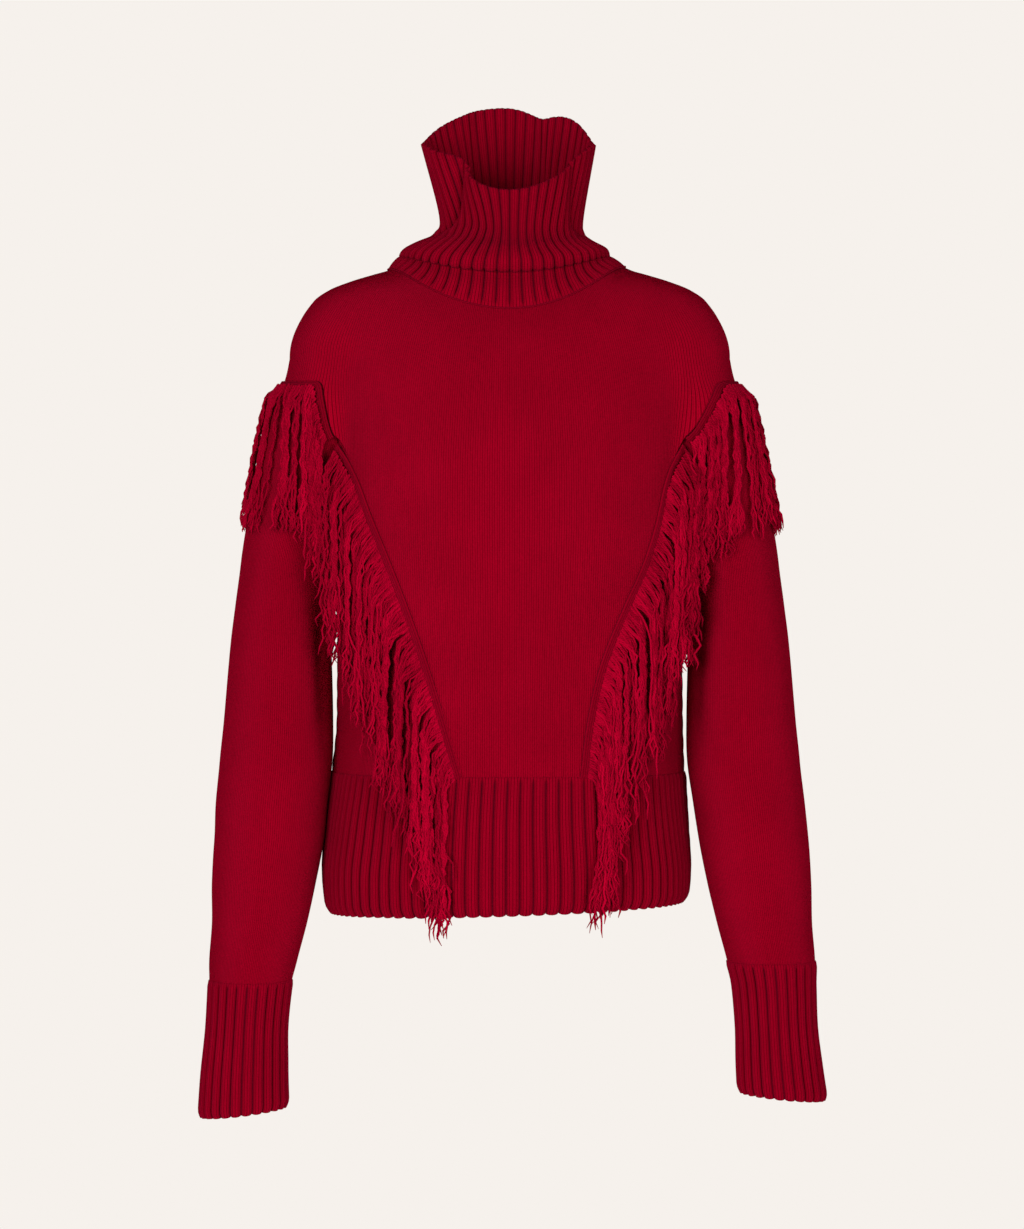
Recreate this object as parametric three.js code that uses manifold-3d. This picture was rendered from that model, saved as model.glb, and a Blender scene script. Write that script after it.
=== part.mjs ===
// A fringed turtleneck sweater, filled out as if worn, with no wearer inside.
// Millimetres, +Z up, +Y to the back. "Left" and "right" are as seen from the front, so left is -X.
// The origin is at the base of the neck, on the middle plane, level with the tops of the shoulders.
//
// The outer face of the cloth is one surface: a torso and two arms, each a stack of oval sections,
// blended where they meet. Seams are rows of points on it. Each cut piece is a wall between its seams.
import * as THREE from "three";
import Module from "manifold-3d";

const wasm = await Module();
wasm.setup();

// Driving dimensions
const CLOTH = 2.6; // thickness of the plain knit
const RIB_CLOTH = 2.2; // thickness of the ribbed knit in its furrows
const RIB_RISE = 1.7; // how far a rib stands out of the furrows
const SEAM_GAP = 0.25; // each piece stops this far short of the seam line
const HEM_RIBS = 85;
const CUFF_RIBS = 24;
const COLLAR_RIBS = 54;
const HEM_TOP = -452; // where the plain knit ends and the hem's rib begins
const HEM_BOTTOM = -572;
const HEM_TILT = 5; // the hem's edge is this much higher on the right and lower on the left
const CAP_HEIGHT = -99; // the dropped shoulder seam on the outer side of the arm
const CAP_DIP = 4; // how much lower that seam runs on the front and back of the arm
const CAP_TURN = { left: 72, right: 40 }; // how far round the front of the arm it turns down, degrees
const CAP_TURN_POWER = 1.4; // how late it falls once it has turned
const ARMPIT = -252;
const CUFF_TOP = { left: -636, right: -619 };
const CUFF_BOTTOM = { left: -757, right: -742 };
const CUFF_TILT = { left: 9, right: 7 }; // the inner side of the cuff's edge is higher by this
const FRINGE_LENGTHS = { front: 170, sleeve: 142 };
const FRINGE_LENGTH_SHARES = { shortest: 0.9, longest: 1.06 };
const FRINGE_STRANDS = 38; // in each of the four lengths of fringe
const FRINGE_ENDS = { first: 0.03, last: 0.985 }; // where along its band a fringe starts and stops
const FRINGE_SEEDS = { front: 11, sleeve: 23 };
const FRINGE_THROW = { ends: 18, middle: 36, sleeve: 3 }; // how far out a strand goes before it falls
const FRINGE_LAYERS = { front: [4, 12, 8, 16], sleeve: [2.8, 5.5] }; // strands lie this far off in turn
const STRAND_RADII = [0.75, 1.9, 1.9, 1.3]; // from the root to the tip
const STRAND_STOPS = [0.14, 0.5, 1]; // the shares of its length where the radii after the root lie
const STRAND_STEP = 4;
const STRAND_DROOP = 0.12; // how much a strand already falls at its root
const STRAND_RISE = 12; // a strand lifts off what it lies on over this length and its layer
const BAND_WIDTH = 8; // the narrow knitted band that holds the fringe
const BAND_FROM_SEAM = 1.6;
const BAND_ROOTS = 0.85; // the share of its width where the strands are fused in
const BAND_AIM = 2.5; // they set out towards the line at this many widths
const BAND_TENSION = 0.2; // how round the line of the roots runs between its points
const BAND_CLOTH = 1.8;
const BAND_LIFT = 0.9; // clear of the panel that it lies on
const CAP_FRINGE_STEPS = 7; // armhole steps that the sleeve's fringe spans to each side

// Torso sections: half the width, the depth in front of and behind the middle plane, the power of
// the oval, and how far its middle leans to the right.
const TORSO = [
  { z: 14, half: 84, front: 46, back: 64, power: 2, lean: 0 },
  { z: 6, half: 97, front: 55, back: 70, power: 2, lean: 0 },
  { z: 0, half: 108, front: 61, back: 75, power: 2, lean: 0 },
  { z: -4, half: 122, front: 64, back: 78, power: 2, lean: 0 },
  { z: -10, half: 142, front: 68, back: 82, power: 2, lean: 0 },
  { z: -18, half: 162, front: 73, back: 87, power: 2, lean: 0 },
  { z: -28, half: 174, front: 79, back: 91, power: 2, lean: 0 },
  { z: -42, half: 178, front: 86, back: 97, power: 2, lean: 0 },
  { z: -64, half: 178.5, front: 95, back: 102, power: 2, lean: 0 },
  { z: -100, half: 175, front: 106, back: 107, power: 2.05, lean: 0 },
  { z: -140, half: 167, front: 114, back: 110, power: 2.1, lean: 0 },
  { z: -180, half: 161, front: 119, back: 110, power: 2.15, lean: 0 },
  { z: -220, half: 158, front: 120, back: 107, power: 2.2, lean: 0 },
  { z: -262, half: 156, front: 118, back: 103, power: 2.2, lean: 0 },
  { z: -310, half: 152, front: 115, back: 98, power: 2.2, lean: 0 },
  { z: -360, half: 149, front: 111, back: 95, power: 2.2, lean: 0 },
  { z: -405, half: 148, front: 109, back: 94, power: 2.2, lean: 0 },
  { z: -452, half: 151, front: 109, back: 95, power: 2.2, lean: -1.5 },
  { z: -500, half: 157, front: 111, back: 98, power: 2.2, lean: -3 },
  { z: -545, half: 162, front: 113, back: 101, power: 2.2, lean: -3.2 },
  { z: -580, half: 160, front: 111, back: 100, power: 2.2, lean: -3.2 },
];

// Arm sections: the centre's distance from the middle plane, half the width, half the depth,
// how far the centre lies behind the middle plane, and how much closer in the left arm hangs.
const ARM = [
  { z: -80, out: 151, half: 46, depth: 50, behind: 0, leftIn: 0 },
  { z: -99, out: 156, half: 46, depth: 52, behind: 0, leftIn: 0 },
  { z: -118, out: 166, half: 46.5, depth: 54, behind: 0, leftIn: 0 },
  { z: -150, out: 175, half: 47, depth: 56, behind: 0, leftIn: 0 },
  { z: -195, out: 185, half: 45.5, depth: 57, behind: 0, leftIn: 0 },
  { z: -240, out: 196, half: 42.5, depth: 57, behind: 0, leftIn: 0 },
  { z: -265, out: 201.5, half: 40.5, depth: 56, behind: 0, leftIn: 0 },
  { z: -300, out: 204, half: 42.5, depth: 57, behind: -1, leftIn: 0 },
  { z: -333, out: 205.5, half: 45, depth: 58, behind: -3, leftIn: 0 },
  { z: -405, out: 207.5, half: 49, depth: 58, behind: -8, leftIn: 0 },
  { z: -441, out: 209.5, half: 50.5, depth: 57, behind: -11, leftIn: 0 },
  { z: -477, out: 214, half: 50, depth: 56, behind: -14, leftIn: 0.8 },
  { z: -513, out: 218.5, half: 49, depth: 54, behind: -17, leftIn: 3 },
  { z: -549, out: 223, half: 46.5, depth: 51, behind: -20, leftIn: 3.2 },
  { z: -585, out: 227.5, half: 42.5, depth: 47, behind: -23, leftIn: 4 },
  { z: -621, out: 233.5, half: 39, depth: 42, behind: -26, leftIn: 4.2 },
  { z: -640, out: 235.5, half: 36.5, depth: 38, behind: -28, leftIn: 4 },
  { z: -675, out: 237.5, half: 35.5, depth: 33, behind: -30, leftIn: 3.3 },
  { z: -711, out: 240, half: 37.3, depth: 31, behind: -32, leftIn: 4 },
  { z: -760, out: 245, half: 39.8, depth: 32, behind: -34, leftIn: 8 },
];
const CREASE = { radius: 20, fade: 70 }; // how softly sleeve and body meet, and over what height that grows
const EASED_RADIUS = 8;
const DRAPE_RADIUS = 44;
const ARMHOLE_PARTING = 0.4; // how far body and sleeve keep to their own side of the crease
const SHOULDER_HUB = { out: 132, z: -82 }; // inside, where the shoulder seam's points fan out from
const SHOULDER_DOME = 46; // the arm closes over its first section as a dome of this height

// Collar rings from the neck seam up to the rim: how far each reaches to the four sides,
// and its height there. It climbs, tucks in under the roll, hangs over it and narrows to the neck.
const COLLAR = [
  { name: "seam", left: 110, right: 103, front: 86, back: 68, zFront: -41.6, zSide: 1, zBack: 10 },
  { name: "lower", left: 101, right: 93, front: 84, back: 65, zFront: -26, zSide: 9, zBack: 17 },
  { name: "tuck", left: 96, right: 88, front: 77, back: 61, zFront: -10, zSide: 11, zBack: 23 },
  { name: "roll edge", left: 98, right: 88.5, front: 86, back: 66, zFront: -7.5, zSide: 13, zBack: 26 },
  { name: "roll", left: 93.5, right: 86, front: 90, back: 67, zFront: 1, zSide: 18, zBack: 34 },
  { name: "roll top", left: 80, right: 73, front: 85, back: 63, zFront: 11, zSide: 25, zBack: 44 },
  { name: "shelf", left: 66.5, right: 66, front: 75, back: 58, zFront: 21, zSide: 32, zBack: 58 },
  { name: "neck", left: 62, right: 65, front: 69, back: 56, zFront: 34, zSide: 48, zBack: 82 },
  { name: "rim", left: 78.5, right: 76, front: 68, back: 62, zFront: 63.5, zSide: 112, zBack: 153 },
];
// Waves of the rim and dents of the neck: where they are round the collar, from the front
// towards the right in degrees, how wide they are, and how far they lift the rim or push in.
const COLLAR_WAVES_FROM = 5; // the ring above which they begin
const COLLAR_WAVES = [
  { angle: 232, width: 30, lift: 7, push: 0 },
  { angle: 158, width: 14, lift: -7, push: 1 },
  { angle: 130, width: 22, lift: 11, push: -1 },
  { angle: 321, width: 16, lift: 9, push: 6 },
];

// Points of the seam between the front panel and each side panel, from the hem up to the armhole:
// distance from the middle plane, and height.
const SIDE_SEAM_POINTS = {
  left: [
    { out: 40, z: -452 },
    { out: 54, z: -404 },
    { out: 70, z: -352 },
    { out: 88, z: -301 },
    { out: 105, z: -258 },
    { out: 120, z: -222 },
    { out: 132, z: -191 },
  ],
  right: [
    { out: 60, z: -452 },
    { out: 66, z: -404 },
    { out: 78, z: -352 },
    { out: 98, z: -303 },
    { out: 114, z: -268 },
    { out: 126, z: -232 },
    { out: 136, z: -190 },
  ],
};

const SPREAD = { half: 165, depth: 105 }; // the oval whose angles spread a panel's points
const EVENINGS = 15; // rounds that even out the front panel's points

// How many steps each seam has
const ARMHOLE_STEPS = 24; // all round the arm, step 0 outermost, then by the front to the armpit
const JUNCTION_STEP = 8; // the armhole step where the front seam's upper end meets the armhole
const ARMPIT_STEP = ARMHOLE_STEPS / 2;
const SEAM_STEPS = 8; // up the front seam, and up the side
const RIDGE_STEPS = 6; // along the shoulder, neck to dropped seam
const NECK_STEPS = 8; // half way round the neck
const HEM_FRONT_STEPS = 4; // across the front panel's lower edge
const SLEEVE_ROWS = 9;
const SLEEVE_ROW_POWER = 1.15; // the rows lie closer together at the top
const RIB_TUBE_INSIDE = { hem: 40, cuff: 20, collar: 32 }; // steps round the plain inside

// How the body's face is found: the step of a ray, how often an interval is halved, how often a
// point is moved nearer, and how far apart two points are that give a slope
const MARCH = 3;
const HALVINGS = 24;
const SETTLINGS = 10;
const PROBE = 0.4;

const SIDES = { left: -1, right: 1 };
const vec = (x, y, z) => new THREE.Vector3(x, y, z);
const mix = (a, b, t) => a + (b - a) * t;
const radians = (degrees) => (degrees * Math.PI) / 180;
const steps = (count, make) => Array.from({ length: count + 1 }, (_, i) => make(i / count, i));
const smoothstep = (t) => {
  const s = Math.min(1, Math.max(0, t));
  return s * s * (3 - 2 * s);
};

// Reads a table of sections at any height, with smooth slopes that never overshoot its rows.
function sectionAt(table, z) {
  const last = table.length - 1;
  if (z >= table[0].z) return table[0];
  if (z <= table[last].z) return table[last];
  let i = 0;
  while (table[i + 1].z > z) i += 1;
  const step = table[i + 1].z - table[i].z;
  const t = (z - table[i].z) / step;
  const slope = (key, k) => (table[k + 1][key] - table[k][key]) / (table[k + 1].z - table[k].z);
  const tangent = (key, k) => {
    if (k === 0 || k === last) return slope(key, Math.min(k, last - 1));
    const [before, after] = [slope(key, k - 1), slope(key, k)];
    return before * after <= 0 ? 0 : (2 * before * after) / (before + after);
  };
  const section = {};
  for (const key of Object.keys(table[i])) {
    const [a, b] = [table[i][key], table[i + 1][key]];
    const [ta, tb] = [tangent(key, i) * step, tangent(key, i + 1) * step];
    const fromRows = a * (2 * t ** 3 - 3 * t * t + 1) + b * (3 * t * t - 2 * t ** 3);
    section[key] = fromRows + ta * (t ** 3 - 2 * t * t + t) + tb * (t ** 3 - t * t);
  }
  return section;
}

// The body's outer face

// How far a point lies outside the torso, about in millimetres, and negative inside.
function torsoDistance(p) {
  const s = sectionAt(TORSO, p.z);
  const depth = p.y < 0 ? s.front : s.back;
  const reach = (Math.abs(p.x - s.lean) / s.half) ** s.power + (Math.abs(p.y) / depth) ** s.power;
  return (reach ** (1 / s.power) - 1) * Math.min(s.half, depth);
}

// The same for the arm on the point's side.
function armDistance(p) {
  const s = sectionAt(ARM, p.z);
  const above = Math.max(0, p.z - ARM[0].z) / SHOULDER_DOME;
  const out = s.out - (p.x < 0 ? s.leftIn : 0);
  const reach = Math.hypot((Math.abs(p.x) - out) / s.half, (p.y - s.behind) / s.depth, above);
  return (reach - 1) * Math.min(s.half, s.depth);
}

function blend(a, b, radius) {
  const h = Math.max(radius - Math.abs(a - b), 0) / radius;
  return Math.min(a, b) - (h * h * radius) / 4;
}

// Torso and arms together, with a soft crease at the armholes that ends at the armpit.
const creaseRadius = (z) => CREASE.radius * smoothstep((z - ARMPIT) / CREASE.fade);
const bodyDistance = (p) => blend(torsoDistance(p), armDistance(p), Math.max(0.1, creaseRadius(p.z)));
// The same with every crease eased, which gives the way a wall faces.
const easedDistance = (p) =>
  blend(torsoDistance(p), armDistance(p), Math.max(EASED_RADIUS, creaseRadius(p.z)));
// What loose strands lie on, with the gap between body and sleeve bridged.
const drapeDistance = (p) => blend(torsoDistance(p), armDistance(p), DRAPE_RADIUS);

function gradient(distance, p) {
  const h = PROBE;
  const along = (x, y, z) =>
    (distance(vec(p.x + x, p.y + y, p.z + z)) - distance(vec(p.x - x, p.y - y, p.z - z))) / (2 * h);
  return vec(along(h, 0, 0), along(0, h, 0), along(0, 0, h));
}

const normalAt = (p) => gradient(easedDistance, p).normalize();

// Moves a point straight to where a distance has a given value.
function settle(p, distance = bodyDistance, value = 0) {
  const q = p.clone();
  for (let i = 0; i < SETTLINGS; i += 1) {
    const g = gradient(distance, q);
    q.addScaledVector(g, (value - distance(q)) / Math.max(g.lengthSq(), 0.05));
  }
  return q;
}

// Where a ray from inside the body first comes out of it.
function castOut(from, direction, distance = bodyDistance) {
  const at = (t) => from.clone().addScaledVector(direction, t);
  let far = MARCH;
  while (distance(at(far)) < 0) far += MARCH;
  let near = far - MARCH;
  for (let i = 0; i < HALVINGS; i += 1) {
    const middle = (near + far) / 2;
    if (distance(at(middle)) < 0) near = middle;
    else far = middle;
  }
  return at(near);
}

// A point on the arm, at an angle from straight outwards (0) by the front (90) to the torso (180).
function armPoint(side, angle, z) {
  const s = sectionAt(ARM, z);
  const a = radians(angle);
  const out = s.out - (side < 0 ? s.leftIn : 0);
  return vec(side * (out + s.half * Math.cos(a)), s.behind - s.depth * Math.sin(a), z);
}

// A point on the torso at a height, by its angle from the front towards the right.
function torsoPoint(angle, z) {
  const s = sectionAt(TORSO, z);
  const [across, ahead] = [Math.sin(radians(angle)), Math.cos(radians(angle))];
  const way = vec(s.half * across, -ahead * (ahead > 0 ? s.front : s.back), 0);
  return castOut(vec(s.lean, 0, z), way.normalize(), torsoDistance);
}

// Seams

// The height where the arm's face at this angle comes out of the torso.
function creaseHeight(angle) {
  let high = CAP_HEIGHT;
  let low = ARMPIT - 10;
  for (let i = 0; i < HALVINGS; i += 1) {
    const middle = (high + low) / 2;
    if (torsoDistance(armPoint(1, angle, middle)) < 0) high = middle;
    else low = middle;
  }
  return low;
}

// The armhole: over the outer arm at the dropped shoulder, then down the crease to the armpit.
// Where body and sleeve stand face to face, each piece keeps to its own side of the line.
function armhole(side, towards) {
  const sign = SIDES[side];
  return steps(ARMHOLE_STEPS, (_, step) => {
    const around = (360 / ARMHOLE_STEPS) * step;
    const turned = around > 180 ? around - 360 : around;
    const inward = Math.abs(turned);
    const junction = (360 / ARMHOLE_STEPS) * JUNCTION_STEP;
    if (inward < junction) {
      const cap = CAP_HEIGHT - CAP_DIP * Math.sin(radians(Math.min(inward, 90)));
      const drop = smoothstep((inward - CAP_TURN[side]) / (junction - CAP_TURN[side])) ** CAP_TURN_POWER;
      return settle(armPoint(sign, turned, mix(cap, creaseHeight(junction * Math.sign(turned)), drop)));
    }
    const p = armPoint(sign, turned, creaseHeight(turned) - 1);
    const apart = gradient(torsoDistance, p).normalize().sub(gradient(armDistance, p).normalize());
    return p.addScaledVector(apart.normalize(), towards * ARMHOLE_PARTING);
  });
}

// The neck seam, by its angle from the front towards the right: straight between its steps.
function neckPoint(angle) {
  const width = 180 / NECK_STEPS;
  const step = Math.floor(angle / width);
  const [start, end] = [step, step + 1].map((k) => settle(collarRing(COLLAR[0], k * width)));
  return start.lerp(end, angle / width - step);
}

// The shoulder seam, from the neck out to the dropped seam, fanned out from a point inside.
function shoulderSeam(side, cap) {
  const sign = SIDES[side];
  const neck = neckPoint(sign * 90);
  const hub = vec(sign * SHOULDER_HUB.out, 0, SHOULDER_HUB.z);
  const angleTo = (p) => Math.atan2(p.z - hub.z, sign * (p.x - hub.x));
  return steps(RIDGE_STEPS, (t) => {
    if (t === 0) return neck;
    if (t === 1) return cap;
    const a = mix(angleTo(neck), angleTo(cap), t);
    return castOut(hub.clone().setY(mix(neck.y, cap.y, t)), vec(sign * Math.cos(a), 0, Math.sin(a)));
  });
}

// The slanting front seam, from the hem up to the armhole.
function frontSeam(side, top) {
  const guide = SIDE_SEAM_POINTS[side].map(({ out, z }) => vec(SIDES[side] * out, 0, z));
  const curve = new THREE.CatmullRomCurve3([...guide, vec(top.x, 0, top.z)]);
  const ahead = vec(0, -1, 0);
  return steps(SEAM_STEPS, (t) => (t === 1 ? top : castOut(curve.getPointAt(t), ahead, torsoDistance)));
}

// The side of the garment from the hem up to the armpit.
function sideSeam(side, armpit) {
  return steps(SEAM_STEPS, (t) => (t === 1 ? armpit : torsoPoint(SIDES[side] * 90, mix(HEM_TOP, ARMPIT, t))));
}

function seamsOf(side) {
  const body = armhole(side, -1);
  return {
    body,
    sleeve: armhole(side, 1),
    front: frontSeam(side, body[JUNCTION_STEP]),
    side: sideSeam(side, body[ARMPIT_STEP]),
    shoulder: shoulderSeam(side, body[0]),
  };
}

// Panels

// Two ways to spread a panel's points: by their angle round the body and their height, or as they are
// seen from the front. Each turns a point into its place, and a place into a point of the cloth.
const roundTheBody = (facing) => ({
  place: (p) => vec(Math.atan2(p.x / SPREAD.half, (facing * p.y) / SPREAD.depth), 0, p.z),
  point: ({ x: angle, z }, distance) => {
    const way = vec(SPREAD.half * Math.sin(angle), facing * SPREAD.depth * Math.cos(angle), 0);
    return castOut(vec(0, 0, z), way.normalize(), distance);
  },
});
const seenFromTheFront = {
  place: (p) => vec(p.x, 0, p.z),
  point: (place, distance) => castOut(place, vec(0, -1, 0), distance),
};

// Moves the inner places of a grid to where smooth lines through it would cross, so that none of its
// squares is turned over.
function evenOut(places) {
  for (let i = 1; i < places.length - 1; i += 1) {
    for (let j = 1; j < places[i].length - 1; j += 1) {
      const [below, row, above] = places.slice(i - 1, i + 2);
      const along = row[j + 1].clone().sub(row[j - 1]);
      const upward = above[j].clone().sub(below[j]);
      const twist = above[j + 1].clone().sub(above[j - 1]).sub(below[j + 1]).add(below[j - 1]);
      row[j] = row[j + 1]
        .clone()
        .add(row[j - 1])
        .multiplyScalar(upward.lengthSq())
        .addScaledVector(above[j].clone().add(below[j]), along.lengthSq())
        .addScaledVector(twist, -along.dot(upward) / 2)
        .divideScalar(2 * (along.lengthSq() + upward.lengthSq()));
    }
  }
}

// Fills the patch between four seams, which run left to right and bottom to top and share their
// corners.
function patch({ bottom, top, left, right, spread, evenings = 0, distance }) {
  const [across, up] = [bottom.length - 1, left.length - 1];
  const [b, t, l, r] = [bottom, top, left, right].map((seam) => seam.map(spread.place));
  const places = steps(up, (v, i) =>
    steps(across, (u, j) => {
      const ruled = b[j].clone().lerp(t[j], v).add(l[i].clone().lerp(r[i], u));
      const corners = b[0].clone().lerp(b[across], u).lerp(t[0].clone().lerp(t[across], u), v);
      return ruled.sub(corners);
    }),
  );
  for (let round = 0; round < evenings; round += 1) evenOut(places);
  return places.map((row, i) =>
    row.map((place, j) => {
      if (i === 0) return bottom[j];
      if (i === up) return top[j];
      if (j === 0) return left[i];
      if (j === across) return right[i];
      return spread.point(place, distance);
    }),
  );
}

function frontPanel(left, right) {
  const [start, end] = [left.front[0], right.front[0]];
  const angles = [start, end].map((p) => torsoAngle(p));
  const hem = steps(HEM_FRONT_STEPS, (t) => torsoPoint(mix(...angles, t), HEM_TOP)).slice(1, -1);
  const neck = steps(NECK_STEPS, (t) => neckPoint(mix(-90, 90, t))).slice(1, -1);
  return patch({
    bottom: [...left.front.toReversed(), ...hem, ...right.front],
    top: [...left.shoulder.toReversed(), ...neck, ...right.shoulder],
    left: left.body.slice(0, JUNCTION_STEP + 1).toReversed(),
    right: right.body.slice(0, JUNCTION_STEP + 1).toReversed(),
    spread: seenFromTheFront,
    evenings: EVENINGS,
    distance: bodyDistance,
  });
}

// The back: level rows up to the armpits, and above them a patch between the armholes.
function backPanel(left, right) {
  const across = RIDGE_STEPS * 2 + NECK_STEPS;
  const neck = steps(NECK_STEPS, (t) => neckPoint(mix(270, 90, t))).slice(1, -1);
  const lower = left.side.map((start, i) => {
    const row = steps(across, (t) => torsoPoint(mix(270, 90, t), start.z));
    return [start, ...row.slice(1, -1), right.side[i]];
  });
  const upper = patch({
    bottom: lower.at(-1),
    top: [...left.shoulder.toReversed(), ...neck, ...right.shoulder],
    left: [...left.body.slice(ARMPIT_STEP, -1), left.body[0]],
    right: [...right.body.slice(ARMPIT_STEP, -1), right.body[0]],
    spread: roundTheBody(1),
    distance: bodyDistance,
  });
  return [...lower, ...upper.slice(1)];
}

function sidePanel(seams, side) {
  const across = ARMPIT_STEP - JUNCTION_STEP;
  const [front, back] = [seams.front[0], seams.side[0]];
  const hem = steps(across, (t) => torsoPoint(mix(torsoAngle(front), SIDES[side] * 90, t), HEM_TOP));
  const bottom = [front, ...hem.slice(1, -1), back];
  const top = seams.body.slice(JUNCTION_STEP, ARMPIT_STEP + 1);
  const shared = { spread: roundTheBody(-1), distance: torsoDistance };
  if (side === "right") return patch({ bottom, top, left: seams.front, right: seams.side, ...shared });
  return patch({
    bottom: bottom.toReversed(),
    top: top.toReversed(),
    left: seams.side,
    right: seams.front,
    ...shared,
  });
}

function sleeveTube(seams, side) {
  const loop = seams.sleeve.slice(0, -1);
  return steps(SLEEVE_ROWS, (t) =>
    loop.map((p, step) => {
      if (t === 0) return p;
      const z = mix(p.z, CUFF_TOP[side], t ** SLEEVE_ROW_POWER);
      return armPoint(SIDES[side], (360 / ARMHOLE_STEPS) * step, z);
    }),
  );
}

// The angle at which torsoPoint gives a point.
function torsoAngle(p) {
  const s = sectionAt(TORSO, p.z);
  return THREE.MathUtils.radToDeg(Math.atan2((p.x - s.lean) / s.half, -p.y / (p.y < 0 ? s.front : s.back)));
}

// Walls

// A closed mesh from points and triangles, turned so that its faces point out.
function closedMesh(points, triangles) {
  let volume = 0;
  for (const [a, b, c] of triangles) volume += points[a].dot(points[b].clone().cross(points[c]));
  const ordered = volume < 0 ? triangles.map(([a, b, c]) => [a, c, b]) : triangles;
  const geometry = new THREE.BufferGeometry();
  geometry.setAttribute("position", new THREE.Float32BufferAttribute(points.flatMap((p) => p.toArray()), 3));
  geometry.setIndex(ordered.flat());
  return geometry;
}

// Draws the edges of a grid in, so that pieces that share a seam stay apart.
function drawnIn(grid, tube) {
  const end = [grid.length - 1, grid[0].length - 1];
  return grid.map((row, i) =>
    row.map((p, j) => {
      const q = p.clone();
      const beside = (j + (tube ? end[1] : -1)) % row.length;
      const alongRow = row[Math.min(j + 1, end[1])].clone().sub(row[tube ? beside : Math.max(j - 1, 0)]);
      const alongColumn = grid[Math.min(i + 1, end[0])][j].clone().sub(grid[Math.max(i - 1, 0)][j]);
      const pull = (k, l, edge) => {
        const way = grid[k][l].clone().sub(p);
        way.addScaledVector(edge, -way.dot(edge) / edge.lengthSq());
        q.addScaledVector(way.normalize(), SEAM_GAP);
      };
      if (i === 0) pull(1, j, alongRow);
      if (i === end[0]) pull(i - 1, j, alongRow);
      if (!tube && j === 0) pull(i, 1, alongColumn);
      if (!tube && j === end[1]) pull(i, j - 1, alongColumn);
      return q;
    }),
  );
}

// A wall between two grids of points. A tube's rows close on themselves.
function wall(outer, inner, tube) {
  const [rows, columns] = [outer.length, outer[0].length];
  const triangles = [];
  const quad = (a, b, c, d) => triangles.push([a, b, c], [a, c, d]);
  const o = (i, j) => i * columns + (j % columns);
  const n = (i, j) => rows * columns + o(i, j);
  const last = [rows - 1, columns - 1];
  for (let j = 0; j < (tube ? columns : columns - 1); j += 1) {
    for (let i = 0; i < rows - 1; i += 1) {
      quad(o(i, j), o(i, j + 1), o(i + 1, j + 1), o(i + 1, j));
      quad(n(i, j), n(i + 1, j), n(i + 1, j + 1), n(i, j + 1));
    }
    quad(o(0, j), n(0, j), n(0, j + 1), o(0, j + 1));
    quad(o(last[0], j), o(last[0], j + 1), n(last[0], j + 1), n(last[0], j));
  }
  for (let i = 0; !tube && i < rows - 1; i += 1) {
    quad(o(i, 0), o(i + 1, 0), n(i + 1, 0), n(i, 0));
    quad(o(i, last[1]), n(i, last[1]), n(i + 1, last[1]), o(i + 1, last[1]));
  }
  return closedMesh([...outer.flat(), ...inner.flat()], triangles);
}

const offset = (grid, normals, by) =>
  grid.map((row, i) => row.map((p, j) => p.clone().addScaledVector(normals[i][j], by)));

function knitWall(grid, tube = false) {
  const normals = grid.map((row) => row.map(normalAt));
  const outer = drawnIn(grid, tube);
  return wall(outer, offset(outer, normals, -CLOTH), tube);
}

// Ribbed tubes

// Where the points of one rib lie across its width, and how high each stands.
const RIB_PROFILE = [
  { across: 0, rise: 0 },
  { across: 0.22, rise: 1 },
  { across: 0.78, rise: 1 },
];

// Joins two closed loops of unlike counts, each given as the numbers of its points.
function joinLoops(a, b, triangles, turned) {
  const add = (x, y, z) => triangles.push(turned ? [x, z, y] : [x, y, z]);
  let [i, j] = [0, 0];
  while (i < a.length || j < b.length) {
    const [hereA, hereB] = [a[i % a.length], b[j % b.length]];
    if (i < a.length && (j >= b.length || (i + 1) / a.length <= (j + 1) / b.length)) {
      i += 1;
      add(hereA, a[i % a.length], hereB);
    } else {
      j += 1;
      add(hereA, b[j % b.length], hereB);
    }
  }
}

// Joins two closed loops of the same count.
function joinRings(a, b, triangles, turned) {
  a.forEach((first, k) => {
    const n = (k + 1) % a.length;
    const quad = turned ? [first, b[k], b[n], a[n]] : [first, a[n], b[n], b[k]];
    triangles.push([quad[0], quad[1], quad[2]], [quad[0], quad[2], quad[3]]);
  });
}

// A tube through rings, each of which gives a point and the way the wall faces there, at any share
// of the way round. Ribs are raised on the outside, and the inside is plain.
function ribbedTube(rings, ribs, insideSteps) {
  const [points, triangles, outer, inner] = [[], [], [], []];
  const width = RIB_PROFILE.length;
  const loop = (count, make) => Array.from({ length: count }, (_, k) => points.push(make(k)) - 1);
  const lifted = ({ point, facing }, by) => point.clone().addScaledVector(facing, by);
  for (const ring of rings) {
    outer.push(
      loop(ribs * width, (k) => {
        const { across, rise } = RIB_PROFILE[k % width];
        return lifted(ring((Math.floor(k / width) + across) / ribs), rise * RIB_RISE);
      }),
    );
    inner.push(loop(insideSteps, (k) => lifted(ring(k / insideSteps), -RIB_CLOTH)));
  }
  for (let i = 0; i < rings.length - 1; i += 1) {
    joinRings(outer[i], outer[i + 1], triangles, false);
    joinRings(inner[i], inner[i + 1], triangles, true);
  }
  joinLoops(outer[0], inner[0], triangles, true);
  joinLoops(outer.at(-1), inner.at(-1), triangles, false);
  return closedMesh(points, triangles);
}

function hemRib() {
  const rings = [0, 0.55, 1].map((down) => (share) => {
    const bottom = HEM_BOTTOM + HEM_TILT * Math.sin(radians(360 * share));
    const point = torsoPoint(360 * share, mix(HEM_TOP - SEAM_GAP, bottom, down));
    return { point, facing: gradient(torsoDistance, point).normalize() };
  });
  return ribbedTube(rings, HEM_RIBS, RIB_TUBE_INSIDE.hem);
}

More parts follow.
